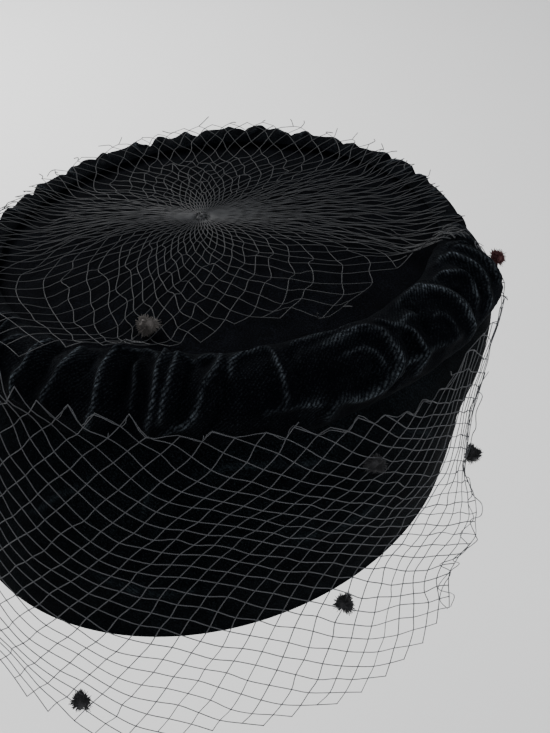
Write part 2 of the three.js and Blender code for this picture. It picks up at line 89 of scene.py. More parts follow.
def level_at(z):
    """Rows of the wall table at heights z, on a smooth curve through the rows."""
    z = np.asarray(z, float)
    zz = LEVELS[:, 0]
    i = np.clip(np.searchsorted(zz, z, side="right") - 1, 0, len(zz) - 2)
    p, q = np.maximum(i - 1, 0), np.minimum(i + 2, len(zz) - 1)
    a, b = LEVELS[i], LEVELS[i + 1]
    span = (b[..., 0] - a[..., 0])[..., None]
    ma = np.where((p == i)[..., None], b - a, (b - LEVELS[p]) * span / np.maximum(b[..., :1] - LEVELS[p][..., :1], 1e-9))
    mb = np.where((q == i + 1)[..., None], b - a, (LEVELS[q] - a) * span / np.maximum(LEVELS[q][..., :1] - a[..., :1], 1e-9))
    t = np.clip((z[..., None] - a[..., :1]) / span, 0, 1)
    t2, t3 = t * t, t * t * t
    out = (2 * t3 - 3 * t2 + 1) * a + (t3 - 2 * t2 + t) * ma + (3 * t2 - 2 * t3) * b + (t3 - t2) * mb
    out[..., 0] = z
    return out


def oval_radius(level, az):
    a = np.radians(az - LONG_AXIS)
    return level[..., 3] * level[..., 4] / np.hypot(level[..., 4] * np.cos(a), level[..., 3] * np.sin(a))


def side_swell(az, z):
    """The wall and the roll's belly swell out on the right, under the tack."""
    d = ((np.asarray(az, float) + 15 + 180) % 360 - 180) / 17.0
    return 3.8 * np.exp(-d * d) * smooth((z - 25) / 23.0) * smooth((90 - z) / 20.0)


def oval_point(level, az, out, up):
    r = oval_radius(level, az) + out + side_swell(az, level[..., 0] + up)
    c, s = np.cos(np.radians(az)), np.sin(np.radians(az))
    return np.stack([level[..., 1] + r * c, level[..., 2] + r * s,
                     level[..., 0] + level[..., 5] * r * c + level[..., 6] * r * s + up], -1)


def round_table(rows, az, col):
    """Periodic smooth look-up in a table whose first column is the azimuth."""
    a = (np.asarray(az, float) + 180) % 360 - 180
    i = np.searchsorted(rows[:, 0], a, side="right") - 1
    n = len(rows)
    p, q = rows[i % n], rows[(i + 1) % n]
    span = (q[..., 0] - p[..., 0]) % 360
    t = ((a - p[..., 0]) % 360) / span
    return p[..., col] + (q[..., col] - p[..., col]) * smooth(t)


def wall_out(az, up):
    p = oval_point(level_at(CREST_Z + up), az, 0.0, 0.0)
    return (np.hypot(p[..., 0] - CREST[1], p[..., 1] - CREST[2]) - oval_radius(CREST, az)
            - side_swell(az, CREST_Z + up))


def roll_rows(az):
    """out and up of each row of the roll's section at each azimuth: (len(az), 9) each."""
    full, lift, shift, deep = (round_table(ROLL_SIZE, az, k)[:, None] for k in (1, 2, 3, 4))
    k = np.arange(9)[None, :]
    o, u = ROLL[None, :, 0], ROLL[None, :, 1]
    inner = np.where(k <= 4, shift * (1 - k / 5), 0)
    out = np.where(o > 0, o * full, o) + inner
    up = np.where(k < 5, u, u * deep)
    for row, more in ((8, 1.4), (7, 2.6), (6, 3.0)):
        out[:, row] = np.maximum(out[:, row], wall_out(az, up[:, row]) + more)
    share = np.minimum(1, (u + 22.6) / 17) * np.select([k == 0, k == 1, k == 2], [0, 0.5, 0.85], 1.0)
    return out, up + lift * share


def catmull(rows, at):
    """rows (n, m) sampled at fractional positions at (k,) along axis 1, smoothly."""
    m = rows.shape[1]
    i = np.clip(np.floor(at).astype(int), 0, m - 2)
    t = at - i
    g = lambda j: rows[:, np.clip(j, 0, m - 1)]
    p0 = np.where(i == 0, 2 * g(i) - g(i + 1), g(i - 1))
    p3 = np.where(i == m - 2, 2 * g(i + 1) - g(i), g(i + 2))
    p1, p2 = g(i), g(i + 1)
    return 0.5 * (2 * p1 + (p2 - p0) * t + (2 * p0 - 5 * p1 + 4 * p2 - p3) * t ** 2 + (3 * p1 - p0 - 3 * p2 + p3) * t ** 3)


def roll_surface(az, rows, stand=0.0):
    """The roll's smooth surface on a grid: az (n,), rows (k,), stand scalar or (n, k). Gives points (n, k, 3)."""
    out, up = roll_rows(az)
    e = 0.02
    o, u = catmull(out, rows), catmull(up, rows)
    do = catmull(out, rows + e) - catmull(out, rows - e)
    du = catmull(up, rows + e) - catmull(up, rows - e)
    ln = np.hypot(do, du)
    nx, ny = -du / ln, do / ln
    return oval_point(CREST, az[:, None], o + stand * nx, u + stand * ny)


def tip_height(x, y):
    """Top face of the crown tip over (x, y), smooth dome."""
    dx, dy = x - TIP[1], y - TIP[2]
    share = np.hypot(dx, dy) / oval_radius(TIP, np.degrees(np.arctan2(dy, dx)))
    return TIP[0] + TIP[5] * dx + TIP[6] * dy + TIP_DOME * (1 - share ** 2)


# ------------------------------------------------------------------ noise
class Noise:
    """Smooth value noise on a plane or on a ring, from a seeded table."""
    def __init__(self, seed):
        self.t = np.random.RandomState(seed).uniform(-1, 1, (256, 256))

    def __call__(self, x, y, wrap=None):
        xi, yi = np.floor(x).astype(int), np.floor(y).astype(int)
        fx, fy = smooth(x - xi), smooth(y - yi)
        w = wrap or 256
        g = lambda a, b: self.t[(a % w) % 256, b % 256]
        return ((g(xi, yi) * (1 - fx) + g(xi + 1, yi) * fx) * (1 - fy)
                + (g(xi, yi + 1) * (1 - fx) + g(xi + 1, yi + 1) * fx) * fy)


# ------------------------------------------------------------------ folds of the roll
ROW_MM = 6.2          # length of one row of the roll's section
DEG_MM = 1.62         # length of one degree round the roll
# ridge: height, half width, (azimuth, row) points from the crest side to the wall side
RIDGES = [
    (2.1, 1.5, [(-112.5, 2.0), (-113, 3.0), (-114, 4.3), (-114.5, 6.0), (-117, 7.3)]),
    (2.3, 1.3, [(-103.5, 2.0), (-103, 3.0), (-103.4, 4.3), (-104.5, 5.8), (-106, 7.2)]),
    (1.4, 1.1, [(-99.5, 2.2), (-100.5, 4.1), (-102, 5.1), (-103.5, 6.4)]),
    (1.9, 1.4, [(-92, 2.1), (-92, 3.2), (-93, 3.8), (-95, 4.9), (-97, 5.7), (-101, 6.5), (-106, 7.3)]),
    (1.7, 1.5, [(-90.5, 4.3), (-89.5, 3.4), (-88, 2.9), (-84, 2.8), (-81.5, 3.3), (-81, 4.4), (-81.3, 5.4), (-84, 5.9)]),
    (2.6, 1.9, [(-74, 3.4), (-69, 3.3), (-65, 3.3), (-61, 3.7), (-59, 4.5), (-59, 5.3), (-62, 6.1), (-67, 6.3), (-72, 6.0), (-74.5, 6.9), (-75, 7.6)]),
    (1.5, 1.4, [(-55, 3.9), (-53.5, 4.7), (-53, 5.9), (-55, 6.8)]),
    (2.1, 2.0, [(-46, 2.3), (-44, 2.9), (-42, 3.3), (-40, 3.8), (-39, 4.5), (-38.5, 5.3), (-39, 6.0), (-41, 7.0)]),
    (1.5, 1.2, [(-35, 2.8), (-33, 3.3), (-31, 3.8), (-31, 4.4), (-33, 5.0), (-35, 5.8)]),
    (1.7, 1.2, [(-28, 2.6), (-26.5, 3.2), (-26, 4.1), (-27, 4.9), (-30, 5.7), (-33, 6.5)]),
    (1.3, 1.1, [(-22, 2.8), (-21, 3.6), (-21.5, 4.8), (-24, 6.0)]),
    (1.3, 1.2, [(-60, 2.9), (-58, 3.4), (-55, 3.8), (-48, 3.7)]),
    (1.2, 1.5, [(-86, 6.1), (-84, 5.8), (-79, 5.8), (-73, 5.9)]),
    (1.1, 1.6, [(-60, 6.1), (-57, 5.9), (-52, 5.7), (-47, 5.8), (-42, 6.1)]),
    (1.6, 1.6, [(-120, 2.2), (-121, 3.4), (-122, 4.8), (-125, 6.4)]),
    (1.8, 1.4, [(-128, 2.2), (-129, 3.6), (-131, 5.2), (-132, 7.0)]),
    (1.4, 1.3, [(-134, 3.0), (-137, 4.4), (-138, 6.2)]),
    (1.2, 1.3, [(-113.5, 3.4), (-112, 2.7), (-108.5, 2.4), (-105.5, 2.6), (-104.3, 3.2)]),
    (1.1, 1.2, [(-103.2, 3.6), (-101, 2.9), (-98.5, 2.9), (-96.5, 3.1), (-94, 2.7), (-92.3, 2.9)]),
    (0.9, 1.2, [(-108, 3.2), (-107.4, 4.4), (-107.8, 5.8)]),
    (1.0, 1.1, [(-78.5, 2.8), (-75, 2.7), (-71, 2.7), (-66, 2.8), (-62, 2.6)]),
    (0.9, 1.3, [(-71, 4.3), (-66, 4.1), (-62.5, 4.6), (-61.5, 5.4)]),
    (1.1, 1.1, [(-52, 3.0), (-48, 2.5), (-45, 2.6), (-42.5, 3.1)]),
    (0.9, 1.1, [(-39, 3.2), (-36.5, 2.9), (-34, 3.1)]),
    (0.8, 1.2, [(-47.5, 4.6), (-45, 4.5), (-43, 5.1), (-44, 5.9)]),
    (1.2, 1.3, [(-31, 2.5), (-29, 2.3), (-26.8, 2.6)]),
    (1.0, 1.2, [(-24, 2.4), (-19, 2.5), (-16, 3.2), (-15, 4.2), (-16, 5.4)]),
    (0.8, 1.6, [(-46, 7.0), (-38, 6.9), (-30, 6.6), (-22, 6.5), (-14, 6.4)]),
]
# valley: depth, half width, points
VALLEYS = [
    (1.6, 1.7, [(-109, 2.2), (-109, 4.2), (-110, 6.0), (-112, 7.2)]),
    (2.0, 1.5, [(-97, 2.2), (-97.5, 4.0), (-99.5, 5.6), (-103, 7.0)]),
    (1.8, 1.3, [(-91.5, 3.6), (-91.5, 4.8), (-93.5, 5.9), (-96, 7.0)]),
    (1.6, 1.8, [(-77.5, 2.8), (-78, 4.4), (-78.5, 5.6)]),
    (1.8, 2.0, [(-66, 4.4), (-64, 5.2), (-66, 5.8), (-70, 5.4)]),
    (1.9, 1.6, [(-56.5, 4.2), (-56, 5.2), (-58, 6.4), (-62, 7.2)]),
    (1.9, 1.5, [(-48.5, 2.6), (-49, 4.2), (-49.5, 5.4)]),
    (1.6, 1.4, [(-36.8, 3.2), (-36, 4.4), (-36.5, 5.6), (-38.5, 6.6)]),
    (1.3, 1.3, [(-29.5, 3.4), (-29, 4.4), (-31, 5.4)]),
    (2.2, 2.2, [(-17.5, 1.6), (-17, 3.4), (-18, 5.0), (-20, 6.8)]),
    (1.6, 1.6, [(-124.5, 2.4), (-125.5, 4.2), (-128, 6.2)]),
    (1.4, 1.6, [(-116.5, 2.6), (-117.5, 4.4), (-120, 6.4)]),
]


def hidden_folds():
    """Pleats of the part of the roll that runs round the back, from a seeded list."""
    rng = np.random.RandomState(7)
    ridges, valleys, az = [], [], -13.0
    while az < 219:
        lean = rng.uniform(-3, 3)
        deep = rng.uniform(1.4, 2.3)
        valleys.append((deep, rng.uniform(1.2, 1.9), [(az, 1.6), (az + lean * 0.4, 3.4), (az + lean, 5.4), (az + lean * 1.6, 7.2)]))
        for side in (-1, 1):
            if rng.rand() < 0.85:
                d = side * rng.uniform(2.2, 4.2)
                ridges.append((rng.uniform(0.8, 1.7), rng.uniform(1.0, 1.7),
                               [(az + d * 0.7, 1.9), (az + d + lean * 0.4, 3.4), (az + d * 1.3 + lean, 5.0), (az + d * 1.5 + lean * 1.5, rng.uniform(6, 7.4))]))
        az += rng.uniform(11.5, 16.5)
    return ridges, valleys


def line_field(S, T, points):
    """Signed distance in mm from each (S, T) to the smooth line through points, and the share along it."""
    p = np.array(points, float)
    k = np.linspace(0, len(p) - 1, (len(p) - 1) * 5 + 1)
    p = catmull(p.T, k).T
    p = np.stack([p[:, 0] * DEG_MM, p[:, 1] * ROW_MM], 1)
    best, sign, along = np.full(S.shape, 1e9), np.zeros(S.shape), np.zeros(S.shape)
    n = len(p) - 1
    for i in range(n):
        a, b = p[i], p[i + 1]
        e = b - a
        dx = (S - a[0] + 180 * DEG_MM) % (360 * DEG_MM) - 180 * DEG_MM
        dy = T - a[1]
        t = np.clip((dx * e[0] + dy * e[1]) / (e @ e), 0, 1)
        d = np.hypot(dx - t * e[0], dy - t * e[1])
        near = d < best
        best = np.where(near, d, best)
        sign = np.where(near, np.sign(e[0] * dy - e[1] * dx), sign)
        along = np.where(near, (i + t) / n, along)
    return best * sign, along


def fold_field(az, rows):
    """Fold height in mm on the grid az x rows, and how much of it is a sharp crest, which is the mask of a highlight
    painted into the velvet's colour.
    """
    A, R = np.meshgrid(az, rows, indexing="ij")
    S, T = A * DEG_MM, R * ROW_MM
    hr, hv = hidden_folds()
    h, crest = np.zeros(A.shape), np.zeros(A.shape)
    n1, n2 = Noise(11), Noise(12)
    wob = 1.3 * n1(A / 5.0, R * 1.1, wrap=72)
    S2, T2 = S + wob, T + 0.9 * n2(A / 4.0, R * 1.3, wrap=90)
    for height, width, pts in RIDGES + hr:
        d, t = line_field(S2, T2, pts)
        end = smooth(np.minimum(t, 1 - t) / 0.18 + 0.12)
        side = np.where(d > 0, width, width * 1.7)
        g = np.exp(-np.abs(d / side) ** 1.6)
        h += height * end * (g - 0.30 * np.exp(-((d - 2.6 * width) / (1.7 * width)) ** 2))
        # the crest share is the mask of the painted highlight along each ridge
        crest = np.maximum(crest, end * np.exp(-(d / (0.46 * width)) ** 2) * min(1.0, height / 2.0))
    for depth, width, pts in VALLEYS + hv:
        d, t = line_field(S2, T2, pts)
        end = smooth(np.minimum(t, 1 - t) / 0.2)
        h -= depth * end * np.exp(-np.abs(d / width) ** 1.5)
    # the hidden part is drawn tighter
    d = ((A - 102 + 180) % 360 - 180)
    h -= 1.5 * smooth((122 - np.abs(d)) / 14) + 1.2 * np.exp(-(((A - 6 + 180) % 360 - 180) / 15) ** 2) + 1.2 * np.exp(-(((A - 168 + 180) % 360 - 180) / 26) ** 2)
    # broad puffs and small wrinkles that run with the folds
    h += 0.9 * n1(A / 11.25, R * 0.45 + 3, wrap=32) + 0.45 * n2(A / 3.0 + R * 0.25, R * 0.55, wrap=120)
    h += 0.16 * n1(A / 1.2 + R * 0.5, R * 0.8 + 9, wrap=300)
    return h, crest


# ------------------------------------------------------------------ meshes
def make_mesh(name, verts_mm, faces, material, smooth_shade=True, uv=None, attrs=None):
    me = bpy.data.meshes.new(name)
    v = np.asarray(verts_mm, np.float64) * MM
    faces = np.asarray(faces, np.int32)
    me.vertices.add(len(v))
    me.vertices.foreach_set("co", v.astype(np.float32).ravel())
    me.loops.add(faces.size)
    me.loops.foreach_set("vertex_index", faces.ravel())
    me.polygons.add(len(faces))
    me.polygons.foreach_set("loop_start", np.arange(0, faces.size, faces.shape[1], dtype=np.int32))
    me.update(calc_edges=True)
    me.validate()
    if smooth_shade:
        me.polygons.foreach_set("use_smooth", np.ones(len(me.polygons), bool))
    if uv is not None:
        layer = me.uv_layers.new(name="UVMap")
        idx = np.empty(len(me.loops), np.int32)
        me.loops.foreach_get("vertex_index", idx)
        layer.data.foreach_set("uv", np.asarray(uv, np.float32)[idx].ravel())
    for key, val in (attrs or {}).items():
        at = me.attributes.new(key, "FLOAT", "POINT")
        at.data.foreach_set("value", np.asarray(val, np.float32).ravel())
    ob = bpy.data.objects.new(name, me)
    bpy.context.collection.objects.link(ob)
    ob.data.materials.append(material)
    return ob


def ring_faces(rings, n, loop):
    """Quads between rings of n points; loop joins the last ring to the first."""
    i = np.arange(rings if loop else rings - 1)
    j = np.arange(n)
    I, J = np.meshgrid(i, j, indexing="ij")
    I2, J2 = (I + 1) % rings, (J + 1) % n
    return np.stack([I * n + J, I * n + J2, I2 * n + J2, I2 * n + J], -1).reshape(-1, 4)


# ------------------------------------------------------------------ materials
def node_tools(mat):
    nt = mat.node_tree
    nt.nodes.clear()
    out = nt.nodes.new("ShaderNodeOutputMaterial")
    bsdf = nt.nodes.new("ShaderNodeBsdfPrincipled")
    nt.links.new(bsdf.outputs[0], out.inputs[0])

    def add(kind, **props):
        node = nt.nodes.new(kind)
        for k, v in props.items():
            setattr(node, k, v)
        return node
    return nt, bsdf, add


def velvet_material(name, dark, light, sheen=0.03, rib=0.2, open_pile=0.1, patchy=0.07):
    """Cotton velvet: a dense short pile, black in the valleys, with a grey highlight painted into the colour along the
    fold crests.
    """
    mat = bpy.data.materials.new(name)
    mat.use_nodes = True
    nt, bsdf, add = node_tools(mat)
    L = nt.links.new
    bsdf.inputs["Roughness"].default_value = 0.9
    bsdf.inputs["Specular IOR Level"].default_value = 0.02
    bsdf.inputs["Sheen Weight"].default_value = sheen
    bsdf.inputs["Sheen Roughness"].default_value = 0.42
    bsdf.inputs["Sheen Tint"].default_value = (0.62, 0.70, 0.74, 1)
    co = add("ShaderNodeTexCoord")
    # patches where the pile lies one way or the other
    lay = add("ShaderNodeTexNoise")
    lay.inputs["Scale"].default_value = 55
    lay.inputs["Detail"].default_value = 5
    lay.inputs["Roughness"].default_value = 0.62
    lay.inputs["Distortion"].default_value = 0.6
    L(co.outputs["Object"], lay.inputs["Vector"])
    fine = add("ShaderNodeTexNoise")
    fine.inputs["Scale"].default_value = 2100
    fine.inputs["Detail"].default_value = 2
    L(co.outputs["Object"], fine.inputs["Vector"])
    even = add("ShaderNodeMapRange")
    even.inputs["From Min"].default_value = 0.3
    even.inputs["From Max"].default_value = 0.7
    even.inputs["To Min"].default_value = 0.5 - patchy
    even.inputs["To Max"].default_value = 0.5 + patchy
    L(lay.outputs["Fac"], even.inputs["Value"])
    mixf = add("ShaderNodeMath", operation="MULTIPLY")
    L(even.outputs["Result"], mixf.inputs[0])
    L(fine.outputs["Fac"], mixf.inputs[1])
    ramp = add("ShaderNodeMapRange")
    ramp.inputs["From Min"].default_value = 0.22
    ramp.inputs["From Max"].default_value = 0.42
    L(mixf.outputs[0], ramp.inputs["Value"])
    fac = ramp.outputs["Result"]
    uv = add("ShaderNodeUVMap", uv_map="UVMap")
    wave = add("ShaderNodeTexWave", wave_type="BANDS", bands_direction="DIAGONAL", wave_profile="SIN")
    wave.inputs["Scale"].default_value = 0.46
    wave.inputs["Distortion"].default_value = 3.0
    wave.inputs["Detail"].default_value = 2
    wave.inputs["Detail Scale"].default_value = 1.2
    L(uv.outputs["UV"], wave.inputs["Vector"])
    # painted highlight: the crest attribute lightens the colour towards the light grey along the fold crests, a sheen
    # painted into the base colour
    at = add("ShaderNodeAttribute", attribute_name="crest")
    grit = add("ShaderNodeTexNoise")
    grit.inputs["Scale"].default_value = 1150
    grit.inputs["Detail"].default_value = 4
    grit.inputs["Roughness"].default_value = 0.7
    L(co.outputs["Object"], grit.inputs["Vector"])
    grain = add("ShaderNodeMapRange")
    grain.inputs["From Min"].default_value = 0.40
    grain.inputs["From Max"].default_value = 0.66
    grain.inputs["To Min"].default_value = 0.04
    grain.inputs["To Max"].default_value = 1.0
    L(grit.outputs["Fac"], grain.inputs["Value"])
    patch = add("ShaderNodeMapRange")
    patch.inputs["From Min"].default_value = 0.38
    patch.inputs["From Max"].default_value = 0.62
    patch.inputs["To Min"].default_value = 0.25
    patch.inputs["To Max"].default_value = 1.0
    L(lay.outputs["Fac"], patch.inputs["Value"])
    m0 = add("ShaderNodeMath", operation="MULTIPLY")
    L(at.outputs["Fac"], m0.inputs[0])
    L(patch.outputs["Result"], m0.inputs[1])
    # ribs of the cloth show in the lighter pile patches and in the painted highlight near the folds
    ribs = add("ShaderNodeMath", operation="MULTIPLY_ADD")
    ribs.inputs[1].default_value = rib
    ribs.inputs[2].default_value = 1.0 - rib
    L(wave.outputs["Fac"], ribs.inputs[0])
    m1 = add("ShaderNodeMath", operation="MULTIPLY")
    L(m0.outputs[0], m1.inputs[0])
    L(grain.outputs["Result"], m1.inputs[1])
    m2 = add("ShaderNodeMath", operation="MULTIPLY_ADD")
    m2.inputs[1].default_value = open_pile
    L(fac, m2.inputs[0])
    L(m1.outputs[0], m2.inputs[2])
    m3 = add("ShaderNodeMath", operation="MULTIPLY", use_clamp=True)
    L(m2.outputs[0], m3.inputs[0])
    L(ribs.outputs[0], m3.inputs[1])
    fac = m3.outputs[0]
    col = add("ShaderNodeMix", data_type="RGBA")
    col.inputs["A"].default_value = (*dark, 1)
    col.inputs["B"].default_value = (*light, 1)
    L(fac, col.inputs["Factor"])
    L(col.outputs["Result"], bsdf.inputs["Base Color"])
    # bump: ribs of the ground cloth and the pile's grain
    bump = add("ShaderNodeBump")
    bump.inputs["Strength"].default_value = 0.55
    bump.inputs["Distance"].default_value = 0.0004
    height = fine.outputs["Fac"]
    hsum = add("ShaderNodeMath", operation="MULTIPLY_ADD")
    hsum.inputs[1].default_value = 0.25 * rib
    L(wave.outputs["Fac"], hsum.inputs[0])
    L(fine.outputs["Fac"], hsum.inputs[2])
    height = hsum.outputs[0]
    L(height, bump.inputs["Height"])
    L(bump.outputs["Normal"], bsdf.inputs["Normal"])
    return mat


def thread_material(name, colour, rough=0.55):
    mat = bpy.data.materials.new(name)
    mat.use_nodes = True
    nt, bsdf, add = node_tools(mat)
    L = nt.links.new
    co = add("ShaderNodeTexCoord")
    n = add("ShaderNodeTexNoise")
    n.inputs["Scale"].default_value = 420
    n.inputs["Detail"].default_value = 3
    L(co.outputs["Object"], n.inputs["Vector"])
    col = add("ShaderNodeMix", data_type="RGBA")
    col.inputs["A"].default_value = (*[c * 0.55 for c in colour], 1)
    col.inputs["B"].default_value = (*[c * 1.45 for c in colour], 1)
    L(n.outputs["Fac"], col.inputs["Factor"])
    L(col.outputs["Result"], bsdf.inputs["Base Color"])
    bsdf.inputs["Roughness"].default_value = rough
    bsdf.inputs["Specular IOR Level"].default_value = 0.4
    w = add("ShaderNodeTexNoise")
    w.inputs["Scale"].default_value = 5200
    L(co.outputs["Object"], w.inputs["Vector"])
    b = add("ShaderNodeBump")
    b.inputs["Strength"].default_value = 0.4
    b.inputs["Distance"].default_value = 0.0001
    L(w.outputs["Fac"], b.inputs["Height"])
    L(b.outputs["Normal"], bsdf.inputs["Normal"])
    return mat


# dark: the velvet's own black; light: the grey of the lighter random pile patches and, on the wall and roll, of the
# highlight painted along the fold crests
VELVET_WALL = velvet_material("velvet_wall", (0.0003, 0.0005, 0.0009), (0.030, 0.040, 0.046), sheen=0.004, rib=0.5, open_pile=0.30, patchy=0.06)
VELVET_ROLL = velvet_material("velvet_roll", (0.0004, 0.0006, 0.0012), (0.105, 0.125, 0.143), sheen=0.004, rib=0.85, open_pile=0.085, patchy=0.14)
VELVET_TIP = velvet_material("velvet_tip", (0.0004, 0.0005, 0.0010), (0.010, 0.012, 0.017), sheen=0.003, rib=0.2, open_pile=0.5)


# ------------------------------------------------------------------ side band
# creases of the wall: height, half width in mm, (azimuth, z) points
WALL_CREASES = [
    (0.55, 1.6, [(-98, 61), (-90, 62.5), (-84, 62), (-76, 59.5), (-69, 56)]),
    (0.45, 1.5, [(-102, 65), (-103, 58), (-104, 54), (-106, 42)]),
    (0.50, 1.7, [(-131, 35), (-126, 43), (-121, 50), (-112, 62)]),
    (0.40, 2.4, [(-118, 28), (-108, 22), (-97, 20), (-86, 21)]),
    (0.35, 2.6, [(-80, 34), (-70, 30), (-60, 30), (-50, 33)]),
    (0.40, 2.2, [(-60, 60), (-52, 54), (-44, 46), (-38, 34)]),
    (0.45, 2.0, [(10, 60), (24, 52), (36, 50), (52, 55)]),
    (0.45, 2.2, [(80, 66), (88, 50), (90, 34)]),
    (0.40, 2.4, [(120, 40), (134, 34), (150, 36)]),
    (0.45, 2.0, [(170, 62), (182, 52), (196, 50)]),
]


def wall_field(az, z):
    A, Z = np.meshgrid(az, z, indexing="ij")
    n1, n2 = Noise(21), Noise(22)
    h, crest = np.zeros(A.shape), np.zeros(A.shape)
    for height, width, pts in WALL_CREASES:
        q = [(a, zz / ROW_MM) for a, zz in pts]
        d, t = line_field(A * DEG_MM + 1.0 * n1(A / 6, Z / 9, wrap=60), Z + 0.8 * n2(A / 6, Z / 9, wrap=60), q)
        end = smooth(np.minimum(t, 1 - t) / 0.3)
        g = np.exp(-(d / width) ** 2)
        h += height * end * (g - 0.5 * np.exp(-((d - 2.2 * width) / (1.6 * width)) ** 2))
        # mask of the highlight painted along each crease of the wall
        crest = np.maximum(crest, 0.55 * end * np.exp(-(d / (0.5 * width)) ** 2))
    h += 0.55 * n1(A / 20, Z / 30, wrap=18) + 0.22 * n2(A / 6, Z / 12 + A / 40, wrap=60) + 0.07 * n1(A / 1.5, Z / 2.6, wrap=240)
    return h, crest


def side_band():
    n = 540
    az = -180 + 360 * np.arange(n) / n
    rings, crest, vv = [], [], []
    zo = np.concatenate([np.linspace(0.9, 82, 84)])
    h, cr = wall_field(az, zo)
    lev = level_at(zo)
    fade = smooth((84 - zo) / 14) * smooth((zo - 0.2) / 3)
    for k, z in enumerate(zo):
        rings.append(oval_point(lev[k], az, h[:, k] * fade[k], 0.0))
        # painted highlight mask of the creases, carried as the crest attribute
        crest.append(cr[:, k] * fade[k])
        vv.append(np.full(n, z))
    top = rings[-1].copy()
    # top edge, plain inner face, and a soft turned hem at the rim
    for out, z in ((-WALL * 0.5, 82.0), (-WALL, 81.6), (-WALL, 74), (-WALL, 62), (-WALL, 46), (-WALL, 26), (-WALL, 14), (-WALL, 13.2), (-WALL - 0.5, 12.6), (-WALL - 0.55, 8), (-WALL - 0.5, 2.4)):
        lv = level_at(np.array(min(z, 82)))
        extra = 0.0
        rings.append(oval_point(lv, az, out + extra, 0.0))
        crest.append(np.zeros(n))
        vv.append(np.full(n, -z))
    for t in np.linspace(0.15, 0.85, 5):
        ang = math.pi * t
        mid, half = -(WALL + 0.5) / 2, (WALL + 0.5) / 2
        rings.append(oval_point(level_at(np.array(1.0)), az, mid - half * math.cos(ang) * 1.0, -1.0 - 0.0 * ang + (1.0 - math.sin(ang)) * 0.9))
        # a faint highlight painted on the turned hem at the rim
        crest.append(np.full(n, 0.10))
        vv.append(np.full(n, -1.0))
    V = np.concatenate(rings)
    F = ring_faces(len(rings), n, True)
    uv = np.stack([np.tile(az * DEG_MM, len(rings)), np.concatenate(vv)], 1)
    return make_mesh("side_wall", V, F, VELVET_WALL, uv=uv, attrs={"crest": np.concatenate(crest)})


# ------------------------------------------------------------------ crown tip
def crown_tip():
    n, m = 360, 60
    az = -180 + 360 * np.arange(n) / n
    n1, n2 = Noise(31), Noise(32)
    rings = []
    shares = np.linspace(0.0, 1.0, m + 1)[1:] ** 0.85
    r_edge = oval_radius(TIP, az)
    c, s = np.cos(np.radians(az)), np.sin(np.radians(az))

    def top(share, below=0.0):
        x, y = TIP[1] + r_edge * share * c, TIP[2] + r_edge * share * s
        z = tip_height(x, y)
        dx, dy = x - NET_CENTRE[0], y - NET_CENTRE[1]
        d = np.hypot(dx, dy)
        a = np.degrees(np.arctan2(dy, dx))
        # the stitch that holds the net pulls the velvet in, with short creases round it
        z = z - 1.6 * np.exp(-(d / 7.0) ** 2) + 0.35 * np.exp(-(d / 22.0) ** 2) * n1(a / 15 + 12, d / 30, wrap=24)
        z = z + (0.30 * n1(x / 26 + 40, y / 26 + 40) + 0.12 * n2(x / 8 + 40, y / 8 + 40)) * (1 - share ** 6)
        return np.stack([x, y, z - below], 1)

    centre = top(0.0)[:1]
    rings = [top(sh) for sh in shares]
    under = [top(sh, TIP_THICK) for sh in (1.0, 0.85, 0.6, 0.35, 0.12)]
    V = np.concatenate([centre] + rings + under + [top(0.0, TIP_THICK)[:1]])
    k = len(rings) + len(under)
    F = ring_faces(k, n, False) + 1
    j = np.arange(n)
    cap = np.stack([np.zeros(n, int), 1 + j, 1 + (j + 1) % n], 1)
    end = 1 + k * n
    cap2 = np.stack([np.full(n, end), 1 + (k - 1) * n + (j + 1) % n, 1 + (k - 1) * n + j], 1)
    F = np.concatenate([np.stack([F[:, 0], F[:, 3], F[:, 2]], 1), np.stack([F[:, 0], F[:, 2], F[:, 1]], 1), cap, cap2])
    return make_mesh("crown_tip_velvet", V, F, VELVET_TIP, uv=V[:, :2])


# ------------------------------------------------------------------ ruched roll
ROLL_STAND = {}


def roll():
    n = 1040
    az = -180 + 360 * np.arange(n) / n
    rows = np.linspace(0, 8, 66)
    h, crest = fold_field(az, rows)
    share = np.interp(rows, np.arange(9), ROLL[:, 2])
    size = np.clip(round_table(ROLL_SIZE, az, 1) + 0.15, 0.55, 1.0)[:, None]
    P = roll_surface(az, rows, h * share[None, :] * size)
    # highest velvet near each place, for the net that lies on it
    top = h * share[None, :] * size
    for axis, reach in ((0, 5), (1, 2)):
        top = np.max([np.roll(top, k, axis) for k in range(-reach, reach + 1)], axis=0)
    ROLL_STAND["top"] = top[::4, ::2]
    rings = [P[:, k] for k in range(len(rows))]
    # mask of the highlight painted along the fold crests, carried as the crest attribute
    cr = [crest[:, k] * share[k] for k in range(len(rows))]
    vv = [np.full(n, r * ROW_MM) for r in rows]
    # hidden side against the wall
    deep = round_table(ROLL_SIZE, az, 4)
    for depth in (-22.0, -18.0, -15.8, -12.5, -10.0):
        up = depth * (deep + (1 - deep) * (depth + 22) / 12)
        rings.append(oval_point(CREST, az, wall_out(az, up) + 0.7, up))
    for out, up in ((1.9, -8.4), (1.8, -5.4)):
        rings.append(oval_point(CREST, az, out, up))
    while len(cr) < len(rings):
        cr.append(np.zeros(n))
        vv.append(np.full(n, 60.0))
    V = np.concatenate(rings)
    F = ring_faces(len(rings), n, True)
    uv = np.stack([np.tile(az * DEG_MM, len(rings)), np.concatenate(vv)], 1)
    return make_mesh("ruched_roll", V, F, VELVET_ROLL, uv=uv, attrs={"crest": np.concatenate(cr)})


wall_ob, tip_ob, roll_ob = side_band(), crown_tip(), roll()
for ob, node in ((wall_ob, "side_band"), (tip_ob, "crown_tip"), (roll_ob, "ruched_band")):
    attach(ob, "root")
    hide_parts(node)
roll_ob.data.flip_normals()

